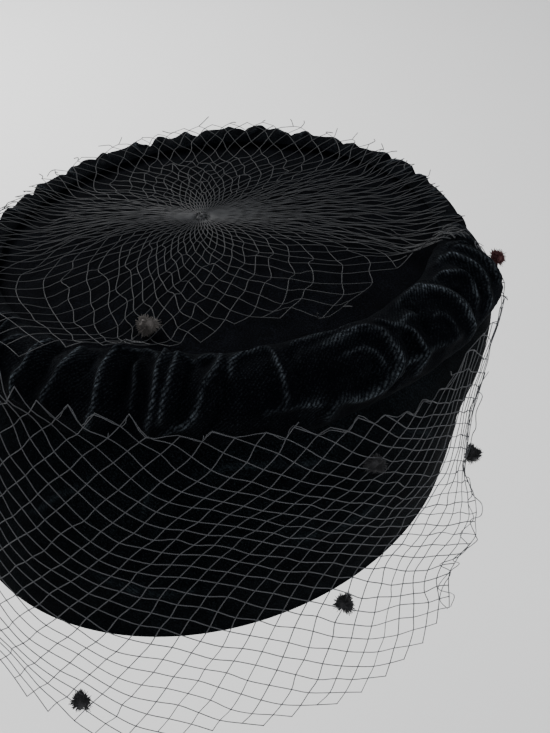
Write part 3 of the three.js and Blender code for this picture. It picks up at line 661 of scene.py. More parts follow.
# ------------------------------------------------------------------ threads
def tubes(paths, radius, sides=5):
    """Closed thin tubes along smooth paths. radius is a number or one value for each path."""
    V, F, base = [], [], 0
    ring = 2 * np.pi * np.arange(sides) / sides
    for pi, p in enumerate(paths):
        p = np.asarray(p, float)
        keep = np.r_[True, np.linalg.norm(np.diff(p, axis=0), axis=1) > 1e-4]
        p = p[keep]
        if len(p) < 2:
            continue
        r = radius[pi] if isinstance(radius, (list, np.ndarray)) else radius
        t = np.gradient(p, axis=0)
        t /= np.linalg.norm(t, axis=1)[:, None]
        up = np.array([0.0, 0, 1]) if abs(t[0, 2]) < 0.9 else np.array([1.0, 0, 0])
        u = np.cross(t[0], up)
        u /= np.linalg.norm(u)
        n = len(p)
        U = np.empty((n, 3))
        for i in range(n):
            u = u - t[i] * (u @ t[i])
            u /= max(np.linalg.norm(u), 1e-9)
            U[i] = u
        W = np.cross(t, U)
        rr = np.full(n, r) if np.isscalar(r) else np.interp(np.linspace(0, 1, n), np.linspace(0, 1, len(r)), r)
        P = p[:, None] + rr[:, None, None] * (np.cos(ring)[None, :, None] * U[:, None] + np.sin(ring)[None, :, None] * W[:, None])
        V.append(P.reshape(-1, 3))
        V.append(p[[0, -1]] + np.stack([-t[0], t[-1]]) * rr[[0, -1]][:, None] * 0.6)
        i, j = np.meshgrid(np.arange(n - 1), np.arange(sides), indexing="ij")
        a, b = base + i * sides + j, base + i * sides + (j + 1) % sides
        F.append(np.stack([a, b, b + sides], -1).reshape(-1, 3))
        F.append(np.stack([a, b + sides, a + sides], -1).reshape(-1, 3))
        k = np.arange(sides)
        end = base + n * sides
        F.append(np.stack([np.full(sides, end), base + (k + 1) % sides, base + k], 1))
        F.append(np.stack([np.full(sides, end + 1), base + (n - 1) * sides + k, base + (n - 1) * sides + (k + 1) % sides], 1))
        base += n * sides + 2
    return np.concatenate(V), np.concatenate(F)


def beads(centres, radius, along=None):
    """Small closed knots: an octahedron round each centre."""
    base = np.array([(1, 0, 0), (-1, 0, 0), (0, 1, 0), (0, -1, 0), (0, 0, 1), (0, 0, -1)], float)
    tri = [(0, 2, 4), (2, 1, 4), (1, 3, 4), (3, 0, 4), (2, 0, 5), (1, 2, 5), (3, 1, 5), (0, 3, 5)]
    c = np.asarray(centres, float)
    r = np.broadcast_to(np.asarray(radius, float), (len(c),))
    V = (c[:, None] + base[None] * r[:, None, None]).reshape(-1, 3)
    F = (np.array(tri)[None] + 6 * np.arange(len(c))[:, None, None]).reshape(-1, 3)
    return V, F


def join(parts):
    V, F, base = [], [], 0
    for v, f in parts:
        V.append(v)
        F.append(f + base)
        base += len(v)
    return np.concatenate(V), np.concatenate(F)


def through(points, per=3):
    """Smooth run through the points of a thread."""
    p = np.asarray(points, float)
    if len(p) < 3:
        return np.array([p[0] + (p[-1] - p[0]) * t for t in np.linspace(0, 1, per + 1)])
    k = np.linspace(0, len(p) - 1, (len(p) - 1) * per + 1)
    return catmull(p.T, k).T


# ------------------------------------------------------------------ form of the net
# azimuth and end of the gathered crown part on the net's path (0 gathering ... 16 hem)
CROWN_NET_EDGE = np.array([
    (-180, 7.0), (-150, 7.0), (-131, 7.0), (-122, 5.6), (-114, 4.6), (-106, 3.6), (-99, 3.0), (-90, 2.7),
    (-72, 2.8), (-60, 3.0), (-44, 3.0), (-30, 3.0), (-20, 3.5), (-12, 5.2), (6, 5.9), (60, 5.6),
    (120, 5.7), (150, 6.2), (170, 7.0)], float)
# azimuth, top edge, hem and how far it stands off, for the hanging front part
FRONT_NET = np.array([
    (-188, 7.4, 12.0, 1.0), (-180, 7.4, 14.6, 3.0), (-166, 7.4, 15.6, 3.5), (-150, 7.4, 16.0, 3.0),
    (-131, 7.4, 16.0, 3.0), (-122, 7.6, 16.0, 3.0), (-113, 8.4, 16.0, 3.0), (-102, 9.2, 16.0, 3.0),
    (-88, 9.8, 16.0, 3.5), (-70, 10.2, 16.0, 6.0), (-54, 10.4, 15.9, 10.0), (-43, 10.6, 15.3, 16.0),
    (-34, 10.8, 14.4, 18.0), (-26, 10.6, 13.3, 15.0), (-20, 8.4, 11.4, 5.0), (-15, 6.0, 8.6, 2.0)])
NET_STAND = 3.0
HANG_AT = np.array([11, 12, 13, 14, 15, 16, 17.0])
HANG_Z = np.array([60, 40, 20, 0, -20, -42, -64.0])


def roll_at(az, row, stand):
    """Smooth surface of the roll for matching arrays of azimuth and row."""
    out, up = roll_rows(az)
    def pick(g, r):
        m = g.shape[1]
        r = np.clip(r, 0, m - 1)
        i = np.clip(np.floor(r).astype(int), 0, m - 2)
        t = r - i
        k = np.arange(len(r))
        q = lambda j: g[k, np.clip(j, 0, m - 1)]
        p1, p2 = q(i), q(i + 1)
        p0 = np.where(i == 0, 2 * p1 - p2, q(i - 1))
        p3 = np.where(i == m - 2, 2 * p2 - p1, q(i + 2))
        return 0.5 * (2 * p1 + (p2 - p0) * t + (2 * p0 - 5 * p1 + 4 * p2 - p3) * t ** 2 + (3 * p1 - p0 - 3 * p2 + p3) * t ** 3)
    o, u = pick(out, row), pick(up, row)
    e = 0.05
    do = pick(out, row + e) - pick(out, row - e)
    du = pick(up, row + e) - pick(up, row - e)
    ln = np.maximum(np.hypot(do, du), 1e-9)
    return oval_point(CREST, az, o - stand * du / ln, u + stand * do / ln)


def net_form(az, at, stand=NET_STAND):
    """Form the net lies on: matching arrays of azimuth and place on the path."""
    az, at = np.asarray(az, float), np.asarray(at, float)
    stand = np.broadcast_to(np.asarray(stand, float), az.shape)
    flare = np.interp(az, FRONT_NET[:, 0], FRONT_NET[:, 3])
    # over the tip
    r8 = oval_radius(TIP, az) * 0.8
    ex, ey = TIP[1] + r8 * np.cos(np.radians(az)), TIP[2] + r8 * np.sin(np.radians(az))
    t = np.clip(at / 3.0, 0, 1)
    x, y = NET_CENTRE[0] + (ex - NET_CENTRE[0]) * t, NET_CENTRE[1] + (ey - NET_CENTRE[1]) * t
    flat = np.stack([x, y, tip_height(x, y) + stand], 1)
    lip = roll_at(az, np.full(az.shape, 2.0), stand)
    s = np.clip(at - 3.0, 0, 1)[:, None]
    over = flat + (lip - flat) * s
    rolled = roll_at(az, 2 + np.clip(at - 4.0, 0, 6), stand)
    # down the wall and free below the rim
    fall = smooth((at - 11.5) / 3)
    off = stand + 0.6 + flare * fall - 1.6 * np.exp(-((az + 18) / 12) ** 2) * (1 - fall)
    z = np.interp(at, HANG_AT, HANG_Z)
    lv = level_at(np.clip(z, 0, 82))
    lv[:, 0] = z
    hang = oval_point(lv, az, off, 0.0)
    foot = roll_at(az, np.full(az.shape, 8.0), stand)
    lv60 = level_at(np.full(az.shape, 60.0))
    first = foot + (oval_point(lv60, az, off, 0.0) - foot) * np.clip(at - 10, 0, 1)[:, None]
    a = at[:, None]
    return np.where(a <= 4, over, np.where(a <= 10, rolled, np.where(a <= 11, first, hang)))

def on_roll(az, row):
    """How high the folds of the roll reach at matching arrays of azimuth and row."""
    g = ROLL_STAND["top"]
    a = (np.asarray(az, float) + 180) % 360 / 360 * g.shape[0]
    r = np.clip(row, 0, 8) / 8 * (g.shape[1] - 1)
    i, j = np.floor(a).astype(int), np.minimum(np.floor(r).astype(int), g.shape[1] - 2)
    fa, fr = a - i, r - j
    i0, i1 = i % g.shape[0], (i + 1) % g.shape[0]
    return (g[i0, j] * (1 - fa) + g[i1, j] * fa) * (1 - fr) + (g[i0, j + 1] * (1 - fa) + g[i1, j + 1] * fa) * fr


# ------------------------------------------------------------------ hanging front part of the veil
# knots of the net: count along each family of threads, azimuth and place on the path
PINS = np.array([
    (-3, 0, -120.5, 10.05), (-3, 1, -117.5, 8.95), (-2, -2, -119.5, 11.05), (-2, -1, -118.0, 10.70), (-2, 0, -116.5, 10.35), (-2, 1, -114.5, 9.95),
    (-2, 2, -112.0, 8.95), (-2, 3, -109.5, 8.35), (-1, -2, -116.5, 11.20), (-1, -1, -114.5, 11.00), (-1, 0, -112.5, 10.70), (-1, 1, -111.0, 10.30),
    (-1, 2, -109.0, 10.05), (-1, 3, -106.5, 9.15), (0, -4, -117.5, 11.80), (0, -3, -115.0, 11.65), (0, -2, -113.0, 11.45), (0, -1, -111.0, 11.25),
    (0, 0, -109.0, 11.05), (0, 1, -107.0, 10.70), (0, 2, -105.5, 10.35), (0, 3, -103.5, 10.10), (0, 4, -101.0, 9.15), (1, -4, -113.5, 11.95),
    (1, -3, -111.5, 11.80), (1, -2, -109.5, 11.60), (1, -1, -107.5, 11.40), (1, 0, -105.5, 11.20), (1, 1, -103.5, 11.05), (1, 2, -101.5, 10.75),
    (1, 3, -99.5, 10.45), (1, 4, -98.0, 10.05), (1, 5, -96.0, 9.15), (2, -6, -113.5, 12.45), (2, -5, -112.0, 12.25), (2, -4, -110.0, 12.10),
    (2, -3, -108.0, 11.90), (2, -2, -106.0, 11.75), (2, -1, -104.0, 11.55), (2, 0, -102.0, 11.35), (2, 1, -100.0, 11.20), (2, 2, -97.5, 11.05),
    (2, 3, -96.0, 10.75), (2, 4, -94.0, 10.50), (2, 5, -92.5, 9.95), (2, 6, -90.5, 8.90), (3, -7, -111.5, 12.65), (3, -6, -109.5, 12.50),
    (3, -5, -108.0, 12.35), (3, -4, -106.5, 12.15), (3, -3, -104.5, 12.00), (3, -2, -102.5, 11.80), (3, -1, -100.5, 11.65), (3, 0, -98.5, 11.45),
    (3, 1, -96.5, 11.30), (3, 2, -94.5, 11.15), (3, 3, -92.0, 11.00), (3, 4, -90.0, 10.70), (3, 5, -88.5, 10.35), (3, 7, -85.0, 8.80),
    (4, -8, -110.0, 12.95), (4, -7, -108.0, 12.75), (4, -6, -106.0, 12.55), (4, -5, -104.5, 12.40), (4, -4, -103.0, 12.20), (4, -3, -101.0, 12.00),
    (4, -2, -99.0, 11.85), (4, 0, -95.0, 11.55), (4, 1, -93.0, 11.35), (4, 2, -91.0, 11.25), (4, 3, -88.5, 11.10), (4, 4, -86.0, 11.00),
    (4, 5, -84.5, 10.75), (4, 7, -82.0, 9.55), (4, 8, -80.0, 8.85), (5, -8, -106.5, 13.05), (5, -7, -104.5, 12.85), (5, -6, -103.5, 12.65),
    (5, -5, -101.0, 12.40), (5, -4, -99.5, 12.20), (5, -3, -97.5, 12.05), (5, 1, -90.0, 11.45), (5, 8, -76.5, 9.70), (5, 9, -74.0, 9.05),
    (6, -8, -102.5, 13.10), (6, -7, -101.5, 12.90), (6, -6, -100.5, 12.60), (6, -5, -98.0, 12.50), (6, -4, -96.0, 12.25), (6, 9, -70.5, 10.15),
    (6, 10, -68.0, 9.45), (7, -8, -99.0, 13.20), (7, -7, -98.0, 12.95), (7, 9, -65.0, 10.70), (7, 10, -64.0, 10.35), (7, 11, -61.5, 10.15),
    (8, -8, -96.0, 13.30), (8, -7, -94.5, 13.10), (8, 9, -61.5, 11.00), (8, 12, -56.5, 10.45), (9, -8, -92.5, 13.40), (9, -7, -91.5, 13.20),
    (9, 9, -58.5, 11.20), (9, 13, -52.0, 10.40), (10, -8, -89.0, 13.55), (10, -7, -88.0, 13.35), (10, 9, -55.5, 11.35), (10, 14, -47.5, 10.35),
    (11, -8, -85.5, 13.70), (11, -7, -84.5, 13.45), (11, 9, -52.5, 11.50), (11, 15, -43.0, 10.25), (12, -8, -81.5, 13.90), (12, -7, -81.0, 13.60),
    (12, 9, -50.5, 11.60), (12, 16, -39.0, 10.15), (13, -8, -78.0, 14.15), (13, -7, -77.5, 13.85), (13, -6, -76.0, 13.60), (13, -5, -75.0, 13.35),
    (13, 9, -47.5, 11.75), (13, 17, -41.0, 8.65), (14, -7, -73.0, 14.10), (14, -6, -72.5, 13.80), (14, -5, -72.0, 13.55), (14, 6, -50.5, 12.30),
    (14, 9, -44.5, 11.90), (14, 18, -39.0, 8.00), (15, -7, -69.5, 14.40), (15, -6, -68.5, 14.10), (15, -5, -68.0, 13.75), (15, 4, -55.0, 12.50),
    (15, 6, -48.5, 12.40), (15, 9, -42.0, 12.00), (15, 19, -35.5, 7.55), (16, -7, -66.0, 14.60), (16, -6, -65.0, 14.30), (16, -5, -64.0, 14.00),
    (16, -4, -64.0, 13.70), (16, -3, -63.5, 13.45), (16, -2, -61.5, 13.25), (16, 4, -53.0, 12.60), (16, 6, -46.5, 12.45), (16, 9, -40.0, 12.10),
    (16, 20, -32.0, 7.30), (17, -7, -62.5, 14.80), (17, -6, -61.5, 14.45), (17, -5, -61.0, 14.15), (17, -4, -60.5, 13.90), (17, -3, -60.0, 13.60),
    (17, -2, -59.5, 13.35), (17, -1, -57.5, 13.20), (17, 0, -54.5, 13.15), (17, 1, -53.0, 13.00), (17, 3, -50.5, 12.75), (17, 9, -37.0, 12.25),
    (18, -6, -58.0, 14.65), (18, -5, -57.5, 14.35), (18, -4, -57.5, 14.05), (18, -3, -57.0, 13.75), (18, -2, -57.0, 13.50), (18, -1, -55.0, 13.35),
    (18, 0, -52.5, 13.25), (18, 2, -48.5, 13.00), (19, -6, -54.5, 14.80), (19, -5, -53.5, 14.55), (19, -4, -54.0, 14.25), (19, -3, -54.5, 13.90),
    (19, -2, -54.5, 13.65), (19, -1, -53.0, 13.45), (19, 0, -50.5, 13.30), (20, -6, -51.0, 14.90), (20, -5, -50.0, 14.65), (20, -4, -52.0, 14.30),
    (20, -3, -52.0, 14.05), (20, -2, -52.0, 13.75), (20, -1, -50.0, 13.55), (20, 0, -48.0, 13.40), (21, -6, -48.0, 15.00), (21, -5, -47.0, 14.75),
    (21, -4, -49.5, 14.40), (21, -3, -49.5, 14.15), (21, -2, -49.0, 13.85), (21, -1, -47.5, 13.60), (21, 0, -45.0, 13.55), (22, -5, -44.0, 14.85),
    (22, -4, -46.5, 14.50), (22, -3, -46.5, 14.20), (22, -2, -46.0, 13.95), (22, -1, -44.0, 13.80), (22, 0, -41.0, 13.80), (23, -4, -44.0, 14.60),
    (23, -3, -44.0, 14.25), (23, -2, -42.5, 14.10), (23, -1, -39.5, 14.15), (23, 0, -35.5, 14.25), (23, 2, -31.0, 14.05), (23, 4, -34.0, 13.40),
    (23, 7, -36.0, 12.75)])
PATH_AT = np.array([4, 10, 11, 12, 13, 14, 15, 16, 17.0])
PATH_MM = np.array([-38, 0, 9, 29, 49, 69, 89, 111, 133.0])
NET_DEG = 1.72


def front_lattice():
    """Knots of the front net, spread smoothly between the pinned ones: returns {(m, n): (az, at)}."""
    M, N = np.meshgrid(np.arange(-26, 24), np.arange(-26, 28), indexing="ij")
    u, w = M + N, M - N
    ok = (w >= np.select([u < -7, u <= 2, u <= 8], [-14, -6, -5], -4)) & (w <= 40) & (u >= -44) & (u <= 50)
    cells = [(int(a), int(b)) for a, b in zip(M[ok], N[ok])]
    index = {c: i for i, c in enumerate(cells)}
    size = len(cells)
    AtA, Atb = np.zeros((size, size)), np.zeros((size, 2))

    def add(ids, coef, rhs, weight):
        for i, a in zip(ids, coef):
            for j, b in zip(ids, coef):
                AtA[i, j] += weight * a * b
            Atb[i] += weight * a * np.asarray(rhs)
    for m, n, az, at in PINS:
        key = (int(m), int(n))
        if key in index:
            add([index[key]], [1.0], (az * NET_DEG, np.interp(at, PATH_AT, PATH_MM)), 1.0)
    for (m, n), i in index.items():
        for dm, dn, rest in ((1, 0, (5.3, 6.0)), (0, 1, (5.3, -6.0))):
            a, b = index.get((m + dm, n + dn)), index.get((m - dm, n - dn))
            if a is not None:
                add([i, a], [-1.0, 1.0], rest, 0.004)
            if a is not None and b is not None:
                add([b, i, a], [1.0, -2.0, 1.0], (0.0, 0.0), 0.5)
        d = [index.get((m + a, n + b)) for a, b in ((0, 0), (1, 0), (0, 1), (1, 1))]
        if None not in d:
            add(d, [1.0, -1.0, -1.0, 1.0], (0.0, 0.0), 0.35)
    X = np.linalg.solve(AtA + 1e-9 * np.eye(size), Atb)
    # nearly even thread length between knots where nothing holds them
    rng = np.random.RandomState(5)
    X += rng.normal(0, 0.28, X.shape)
    return {c: (X[i, 0] / NET_DEG, float(np.interp(X[i, 1], PATH_MM, PATH_AT))) for c, i in index.items()}


def front_inside(az, at):
    top = np.interp(az, FRONT_NET[:, 0], FRONT_NET[:, 1])
    hem = np.interp(az, FRONT_NET[:, 0], FRONT_NET[:, 2])
    return -189 < az < -12 and top - 1.2 < at < hem + 0.12


def front_net():
    lat = front_lattice()
    rng = np.random.RandomState(15)
    wave1 = Noise(41)
    keys = [k for k, (az, at) in lat.items() if front_inside(az, at)]
    az = np.array([lat[k][0] for k in keys])
    at = np.array([lat[k][1] for k in keys])
    free = smooth((at - 12.5) / 1.5) * 1.6 + 0.35
    stand = NET_STAND + 0.5 + free * wave1(az / 9 + 40, at * 1.3) + rng.normal(0, 0.12, len(at))
    low = smooth((at - 9.0) / 1.2)
    stand = stand * low + np.maximum(on_roll(az, at - 2) + 0.9, 0.9) * (1 - low)
    P = net_form(az, at, stand)
    pos = dict(zip(keys, P))
    lines = []
    for family in (0, 1):
        for fixed in range(-30, 30):
            run = []
            for moving in range(-30, 31):
                k = (moving, fixed) if family == 0 else (fixed, moving)
                if k in pos:
                    run.append(pos[k])
                else:
                    if len(run) > 1:
                        lines.append(run)
                    run = []
            if len(run) > 1:
                lines.append(run)
    paths = [through(r, 3) for r in lines]
    radii = [0.172] * len(paths)
    # turned and doubled threads of the free right edge
    for off, seed in ((0.9, 1), (-0.7, 2)):
        rg = np.random.RandomState(60 + seed)
        run = [pos[(23 - (1 if (n + seed) % 3 == 0 else 0), n)] for n in range(-26, 28) if (23, n) in pos and (22, n) in pos]
        if len(run) > 3:
            run = np.array(run) + rg.normal(0, 0.7, (len(run), 3)) + np.array([off, 0, 0])
            paths.append(through(run, 4))
            radii.append(0.16)
    # the top edge is finished with a second thread that follows its points
    rg = np.random.RandomState(77)
    top = sorted((k for k in pos if (k[0] + 1, k[1] - 1) in pos and (k[0] - 1, k[1] + 1) not in pos and (k[0], k[1] + 1) not in pos and (k[0] - 1, k[1]) not in pos and k[0] + k[1] > -6), key=lambda k: k[0] + k[1])
    run = []
    for k in top:
        run.append(pos[k])
        if (k[0] + 1, k[1]) in pos:
            run.append(pos[(k[0] + 1, k[1])])
    if len(run) > 3:
        run = np.array(run)
        run = run + rg.normal(0, 0.4, run.shape) + np.array([0, -0.2, 0.3])
        paths.append(through(run, 3))
        radii.append(0.14)
    # a few cut ends along the top edge
    for (m, n) in keys:
        if m - n == -4 and rng.rand() < 0.35:
            p = pos[(m, n)]
            q = p + np.array([rng.normal(0, 1.6), rng.normal(0, 1.2), rng.uniform(0.6, 2.8)])
            paths.append(through([p, (p + q) / 2 + rng.normal(0, 0.4, 3), q], 3))
            radii.append(0.17)
    V, F = join([tubes(paths, radii, sides=4), beads(list(pos.values()), 0.27)])
    return make_mesh("front_net", V, F, NET_MAT)


# ------------------------------------------------------------------ gathered crown part of the veil
TACK = (-17.0, 4.2)        # azimuth and path of the right tack


def crown_map():
    """Tables from direction and distance from the gathering to azimuth and place on the path."""
    az = np.arange(-180, 180, 2.0)
    at = np.linspace(0, 9, 181)
    A, T = np.meshgrid(az, at, indexing="ij")
    P = net_form(A.ravel(), T.ravel(), 2.2).reshape(len(az), len(at), 3)
    step = np.linalg.norm(np.diff(P, axis=1), axis=2)
    dist = np.concatenate([np.zeros((len(az), 1)), np.cumsum(step, 1)], 1)
    d = P[:, 40, :2] - np.array(NET_CENTRE)
    direction = np.degrees(np.unwrap(np.arctan2(d[:, 1], d[:, 0])))
    return az, at, dist, direction


def crown_net():
    az_t, at_t, dist, direction = crown_map()
    rng = np.random.RandomState(25)
    # threads for each degree of direction: close together to the left and right, open in front and behind
    deg = np.arange(-180, 180, 1.0)

    def hump(c, w):
        return np.exp(-(((deg - c + 180) % 360 - 180) / w) ** 2)
    density = (0.120 + 0.07 * hump(90, 38) + 0.16 * hump(178, 14) + 0.34 * hump(158, 17) + 0.36 * hump(-9, 20)
               + 0.26 * hump(20, 20) + 0.035 * hump(-125, 26))
    # length of thread between two knots: longest where the net is drawn tight to the left and right
    reach = 6.1 + 2.2 * hump(168, 26) + 2.6 * hump(2, 32) - 1.1 * hump(90, 40)
    total = density.sum()
    count = int(round(total))
    cum = np.concatenate([[0], np.cumsum(density)]) * count / total
    degs = np.concatenate([deg, [180.0]])
    az3 = np.concatenate([az_t - 360, az_t, az_t + 360])
    dir3 = np.concatenate([direction - 360, direction, direction + 360])
    nodes, rings = {}, 30
    r = {}
    for j in range(rings):
        for k in range(count):
            c = (k + 0.5 * (j % 2)) % count
            th = np.interp(c, cum, degs)
            per = 1.0 / np.interp(th, degs, np.concatenate([density, density[:1]])) * total / count
            if j == 0:
                dd = 3.0 + 0.8 * math.sin(k * 2.4)
            else:
                # mean distance of the two knots this one hangs from
                prev = [r[(k, j - 1)], r[((k + (1 if j % 2 else -1)) % count, j - 1)]]
                d0 = 0.5 * (prev[0] + prev[1])
                half = 0.5 * math.radians(per) * min(d0, 78)
                far = np.interp(th, degs, np.concatenate([reach, reach[:1]]))
                length = far * min(1.0, 0.40 + 0.0105 * d0)
                dd = d0 + math.sqrt(max(length ** 2 - half ** 2, (0.5 * length) ** 2))
            r[(k, j)] = dd
            turn = 3.0 * math.exp(-dd / 22) * math.sin(math.radians(3 * th + 40))
            # the net is drawn askew at the front left, so that it stands square to the hat there
            turn += 22.0 * math.exp(-(((th + 155 + 180) % 360 - 180) / 50.0) ** 2) * math.log(max(dd, 18.0) / 18.0) / 1.3
            a = np.interp(th + turn, dir3, az3)
            ai = (a + 180) % 360 / 2.0
            i0 = int(ai) % len(az_t)
            i1, f = (i0 + 1) % len(az_t), ai - int(ai)
            row = dist[i0] * (1 - f) + dist[i1] * f
            at = float(np.interp(dd, row, at_t))
            if dd > row[-1]:
                continue
            azn = (a + 180) % 360 - 180
            # the threads of the right side run together at the tack
            pull = math.exp(-((azn - TACK[0]) / (30.0 if azn < TACK[0] else 17.0)) ** 2) * float(smooth(np.array((at - 1.0) / 2.8))) * 0.86
            azn = azn + (TACK[0] - azn) * pull
            nodes[(k, j)] = (azn, at)
    edge = {}
    for key, (a, t) in nodes.items():
        edge[key] = t <= round_table(CROWN_NET_EDGE, np.array([a]), 1)[0] + 0.06
    keys = [k for k in nodes if edge[k]]
    az = np.array([nodes[k][0] for k in keys])
    at = np.array([nodes[k][1] for k in keys])
    amp = np.clip(at / 1.5, 0, 1)
    az = az + rng.normal(0, 0.5, len(az)) * amp
    at = np.clip(at + rng.normal(0, 0.05, len(at)) * amp, 0, 9)
    hug = smooth((at - 2.6) / 1.3)
    stand = (0.9 + np.abs(rng.normal(0, 0.35, len(at))) * amp) * (1 - hug) + hug * (np.maximum(on_roll(az, at - 2), 0) + 0.8 + np.abs(rng.normal(0, 0.2, len(at))))
    P = net_form(az, at, stand)
    pos = dict(zip(keys, P))
    paths, radii = [], []
    for side in (0, 1):
        for start in range(count):
            run, k = [], start
            for j in range(rings):
                key = (k % count, j)
                if key in pos:
                    run.append(pos[key])
                else:
                    if len(run) > 1:
                        paths.append(through(run, 3))
                        radii.append(0.140)
                    run = []
                # next knot outward on this thread
                if side == 0:
                    k = k if j % 2 == 0 else k + 1
                else:
                    k = k - 1 if j % 2 == 0 else k
            if len(run) > 1:
                paths.append(through(run, 3))
                radii.append(0.140)
    # cut ends along the raw front edge and behind
    for (k, j) in keys:
        if (k, j + 1) in pos or rng.rand() > 0.62:
            continue
        a, t = nodes[(k, j)]
        if -112 < a < -18 or a > 20 or a < -150:
            p = pos[(k, j)]
            if a > 20:
                e = net_form(np.array([a + rng.normal(0, 1.5)]), np.array([t + rng.uniform(0.1, 0.6)]), 1.6)[0]
                e = e + np.array([rng.normal(0, 0.8), rng.normal(0, 0.8), rng.uniform(-1.5, 3.0)])
            else:
                e = net_form(np.array([a + rng.normal(0, 2.6)]), np.array([t + rng.uniform(0.15, 0.55)]), 3.4)[0]
                e = e + np.array([rng.normal(0, 0.8), rng.normal(0, 0.8), rng.uniform(0, 1.6)])
            mid = (p + e) / 2 + rng.normal(0, 0.6, 3)
            paths.append(through([p, mid, e], 4))
            radii.append(0.17)
    # stitches at the gathering and at the tack
    for i in range(26):
        c = np.array([*NET_CENTRE, 0.0])
        a0, a1 = rng.uniform(0, 2 * np.pi, 2)
        p0 = c + [2.4 * math.cos(a0), 2.4 * math.sin(a0), 0]
        p1 = c + [2.4 * math.cos(a1), 2.4 * math.sin(a1), 0]
        for p in (p0, p1):
            p[2] = tip_height(p[0], p[1]) + 0.2
        m = (p0 + p1) / 2
        m[2] = tip_height(m[0], m[1]) + rng.uniform(0.4, 1.7)
        paths.append(through([p0, m, p1], 4))
        radii.append(0.22)
    for i in range(16):
        a = TACK[0] + rng.normal(0, 2.2)
        t = TACK[1] + rng.uniform(-0.7, 0.9)
        q = net_form(np.full(3, a) + rng.normal(0, 0.9, 3), np.array([t, t + 0.35, t + 0.7]), np.array([2.9, 3.9, 2.9]))
        paths.append(through(q, 4))
        radii.append(0.22)
    V, F = join([tubes(paths, radii, sides=4), beads(list(pos.values()), 0.23)])
    return make_mesh("crown_net", V, F, CROWN_MAT)


# ------------------------------------------------------------------ chenille dots
def chenille_dot(number, node):
    """Short tuft of cut pile, thick and uneven, wound round a knot of the net."""
    lo, hi = (np.array([c[i] for i in range(3)]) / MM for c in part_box(node))
    c, half = (lo + hi) / 2, float(np.mean(hi - lo)) / 2
    rng = np.random.RandomState(100 + number)
    axis = rng.normal(0, 1, 3)
    axis /= np.linalg.norm(axis)
    paths, radii = [], []
    for i in range(980):
        d = rng.normal(0, 1, 3)
        d /= np.linalg.norm(d)
        flat = abs(d @ axis)
        lump = 1.0 + 0.22 * math.sin(3 * math.atan2(d[1], d[0]) + number) + 0.16 * math.sin(4 * d[2] + 2 * number)
        ln = half * lump * rng.uniform(0.92, 1.16) * (1.0 - 0.15 * flat)
        bend = rng.normal(0, 0.34, 3)
        p0 = c + d * half * 0.25
        p1 = c + d * ln * 0.70 + bend * 0.5
        p2 = c + d * ln + bend
        paths.append(np.array([p0, p1, p2]))
        radii.append(np.array([0.13, 0.12, 0.07]))
    core = []
    V, F = tubes(paths, radii, sides=3)
    n, m = 14, 9
    th = 2 * np.pi * np.arange(n) / n
    pts = [c + [0, 0, half * 0.78]]
    for k in range(1, m):
        ph = math.pi * k / m
        rr = half * 0.78 * (1 + 0.08 * np.sin(3 * th + k))
        pts += list(c + np.stack([rr * math.sin(ph) * np.cos(th), rr * math.sin(ph) * np.sin(th), np.full(n, half * 0.78 * math.cos(ph))], 1))
    pts.append(c - [0, 0, half * 0.78])
    f = ring_faces(m - 1, n, False) + 1
    tri = [np.stack([f[:, 0], f[:, 3], f[:, 2]], 1), np.stack([f[:, 0], f[:, 2], f[:, 1]], 1)]
    j = np.arange(n)
    tri.append(np.stack([np.zeros(n, int), 1 + j, 1 + (j + 1) % n], 1))
    last = 1 + (m - 1) * n
    tri.append(np.stack([np.full(n, last), 1 + (m - 2) * n + (j + 1) % n, 1 + (m - 2) * n + j], 1))
    V, F = join([(V, F), (np.array(pts), np.concatenate(tri))])
    ob = make_mesh("tuft_%02d" % number, V, F, DOT_MATS[2 if number == 2 else (1 if number == 1 else 0)])
    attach(ob, "root")
    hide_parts(node)
    return ob


NET_MAT = thread_material("net_thread", (0.041, 0.043, 0.048), 0.6)
CROWN_MAT = thread_material("net_thread_crown", (0.0135, 0.0148, 0.017), 0.65)
DOT_MATS = [thread_material("chenille_black", (0.020, 0.020, 0.022), 0.8),
            thread_material("chenille_brown", (0.062, 0.056, 0.052), 0.8),
            thread_material("chenille_wine", (0.040, 0.008, 0.009), 0.8)]
crown_ob, front_ob = crown_net(), front_net()
for ob, node in ((crown_ob, "veil_crown"), (front_ob, "veil_front")):
    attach(ob, "root")
    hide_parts(node)
DOT_NODES = sorted(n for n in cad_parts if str(n).startswith("chenille_dot_"))
dots = [chenille_dot(i + 1, node) for i, node in enumerate(DOT_NODES)]

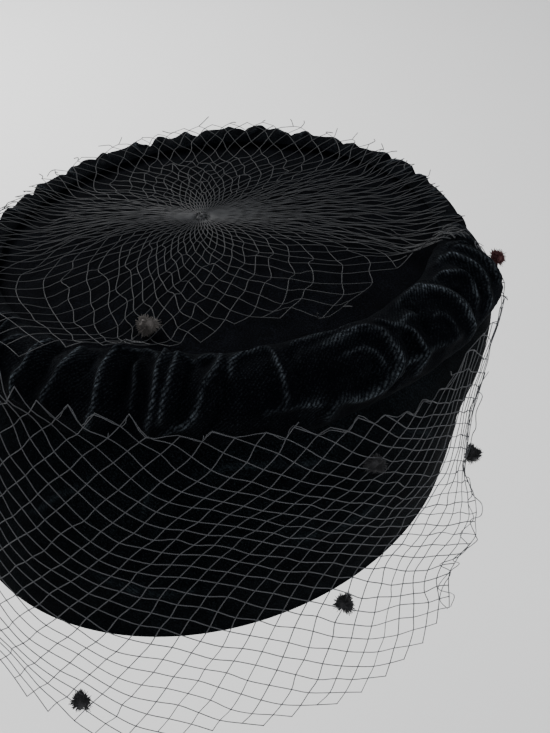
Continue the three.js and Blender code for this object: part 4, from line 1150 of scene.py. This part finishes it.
# ------------------------------------------------------------------ floor, light and camera
def floor():
    mat = bpy.data.materials.new("pale_floor")
    mat.use_nodes = True
    nt, bsdf, add = node_tools(mat)
    co = add("ShaderNodeTexCoord")
    n = add("ShaderNodeTexNoise")
    n.inputs["Scale"].default_value = 1.4
    n.inputs["Detail"].default_value = 2
    nt.links.new(co.outputs["Object"], n.inputs["Vector"])
    mix = add("ShaderNodeMix", data_type="RGBA")
    mix.inputs["A"].default_value = (0.70, 0.70, 0.69, 1)
    mix.inputs["B"].default_value = (0.74, 0.74, 0.735, 1)
    nt.links.new(n.outputs["Fac"], mix.inputs["Factor"])
    nt.links.new(mix.outputs["Result"], bsdf.inputs["Base Color"])
    bsdf.inputs["Roughness"].default_value = 0.9
    bsdf.inputs["Specular IOR Level"].default_value = 0.1
    me = bpy.data.meshes.new("floor")
    z = -0.30
    me.from_pydata([(-6, -6, z), (6, -6, z), (6, 6, z), (-6, 6, z)], [], [(0, 1, 2, 3)])
    ob = bpy.data.objects.new("floor", me)
    bpy.context.collection.objects.link(ob)
    me.materials.append(mat)


floor()


def area_light(name, loc, target, size, power, colour=(1, 1, 1)):
    li = bpy.data.lights.new(name, "AREA")
    li.shape = "RECTANGLE"
    li.size, li.size_y = size
    li.energy = power
    li.color = colour
    ob = bpy.data.objects.new(name, li)
    bpy.context.collection.objects.link(ob)
    ob.location = loc
    ob.rotation_euler = (Vector(target) - Vector(loc)).to_track_quat("-Z", "Y").to_euler()


area_light("key", (-0.9, 0.5, 1.5), (0, 0, 0.05), (1.4, 1.2), 22, (1.0, 0.99, 0.97))
area_light("back_left", (-0.75, 1.15, 0.75), (-0.55, 1.1, -0.3), (0.9, 0.9), 30, (1, 1, 1))
area_light("right_floor", (0.62, -0.25, 0.25), (0.26, -0.05, -0.3), (0.4, 0.4), 2.0, (1, 1, 1))
area_light("fill", (1.1, -1.2, 1.2), (0, 0, 0.05), (1.6, 1.2), 9, (0.97, 0.98, 1.0))
area_light("front", (-0.6, -1.7, 0.9), (0, 0, 0.04), (1.4, 1.0), 8, (1, 1, 1))
world = bpy.data.worlds.new("studio")
bpy.context.scene.world = world
world.use_nodes = True
bg = world.node_tree.nodes["Background"]
bg.inputs[0].default_value = (0.93, 0.95, 1.0, 1)
bg.inputs[1].default_value = 0.50

# camera: place in mm, its right, up and back directions, and the focal length in pixels of a 733 px side
CAM_PLACE = (14.007, -336.998, 281.927)
CAM_AXES = [[0.995843, 0.087066, -0.026773], [-0.073235, 0.590507, -0.803703], [-0.054166, 0.802322, 0.594429]]
FOCAL_PX = 1150.5
cam = bpy.data.cameras.new("camera")
cam.sensor_width = 36.0
cam.lens = FOCAL_PX * 36.0 / 733.0
cam.clip_start = 0.01
cam_ob = bpy.data.objects.new("camera", cam)
bpy.context.collection.objects.link(cam_ob)
m = Matrix(CAM_AXES).to_4x4()
m.translation = Vector(CAM_PLACE) * MM
cam_ob.matrix_world = m
bpy.context.scene.camera = cam_ob
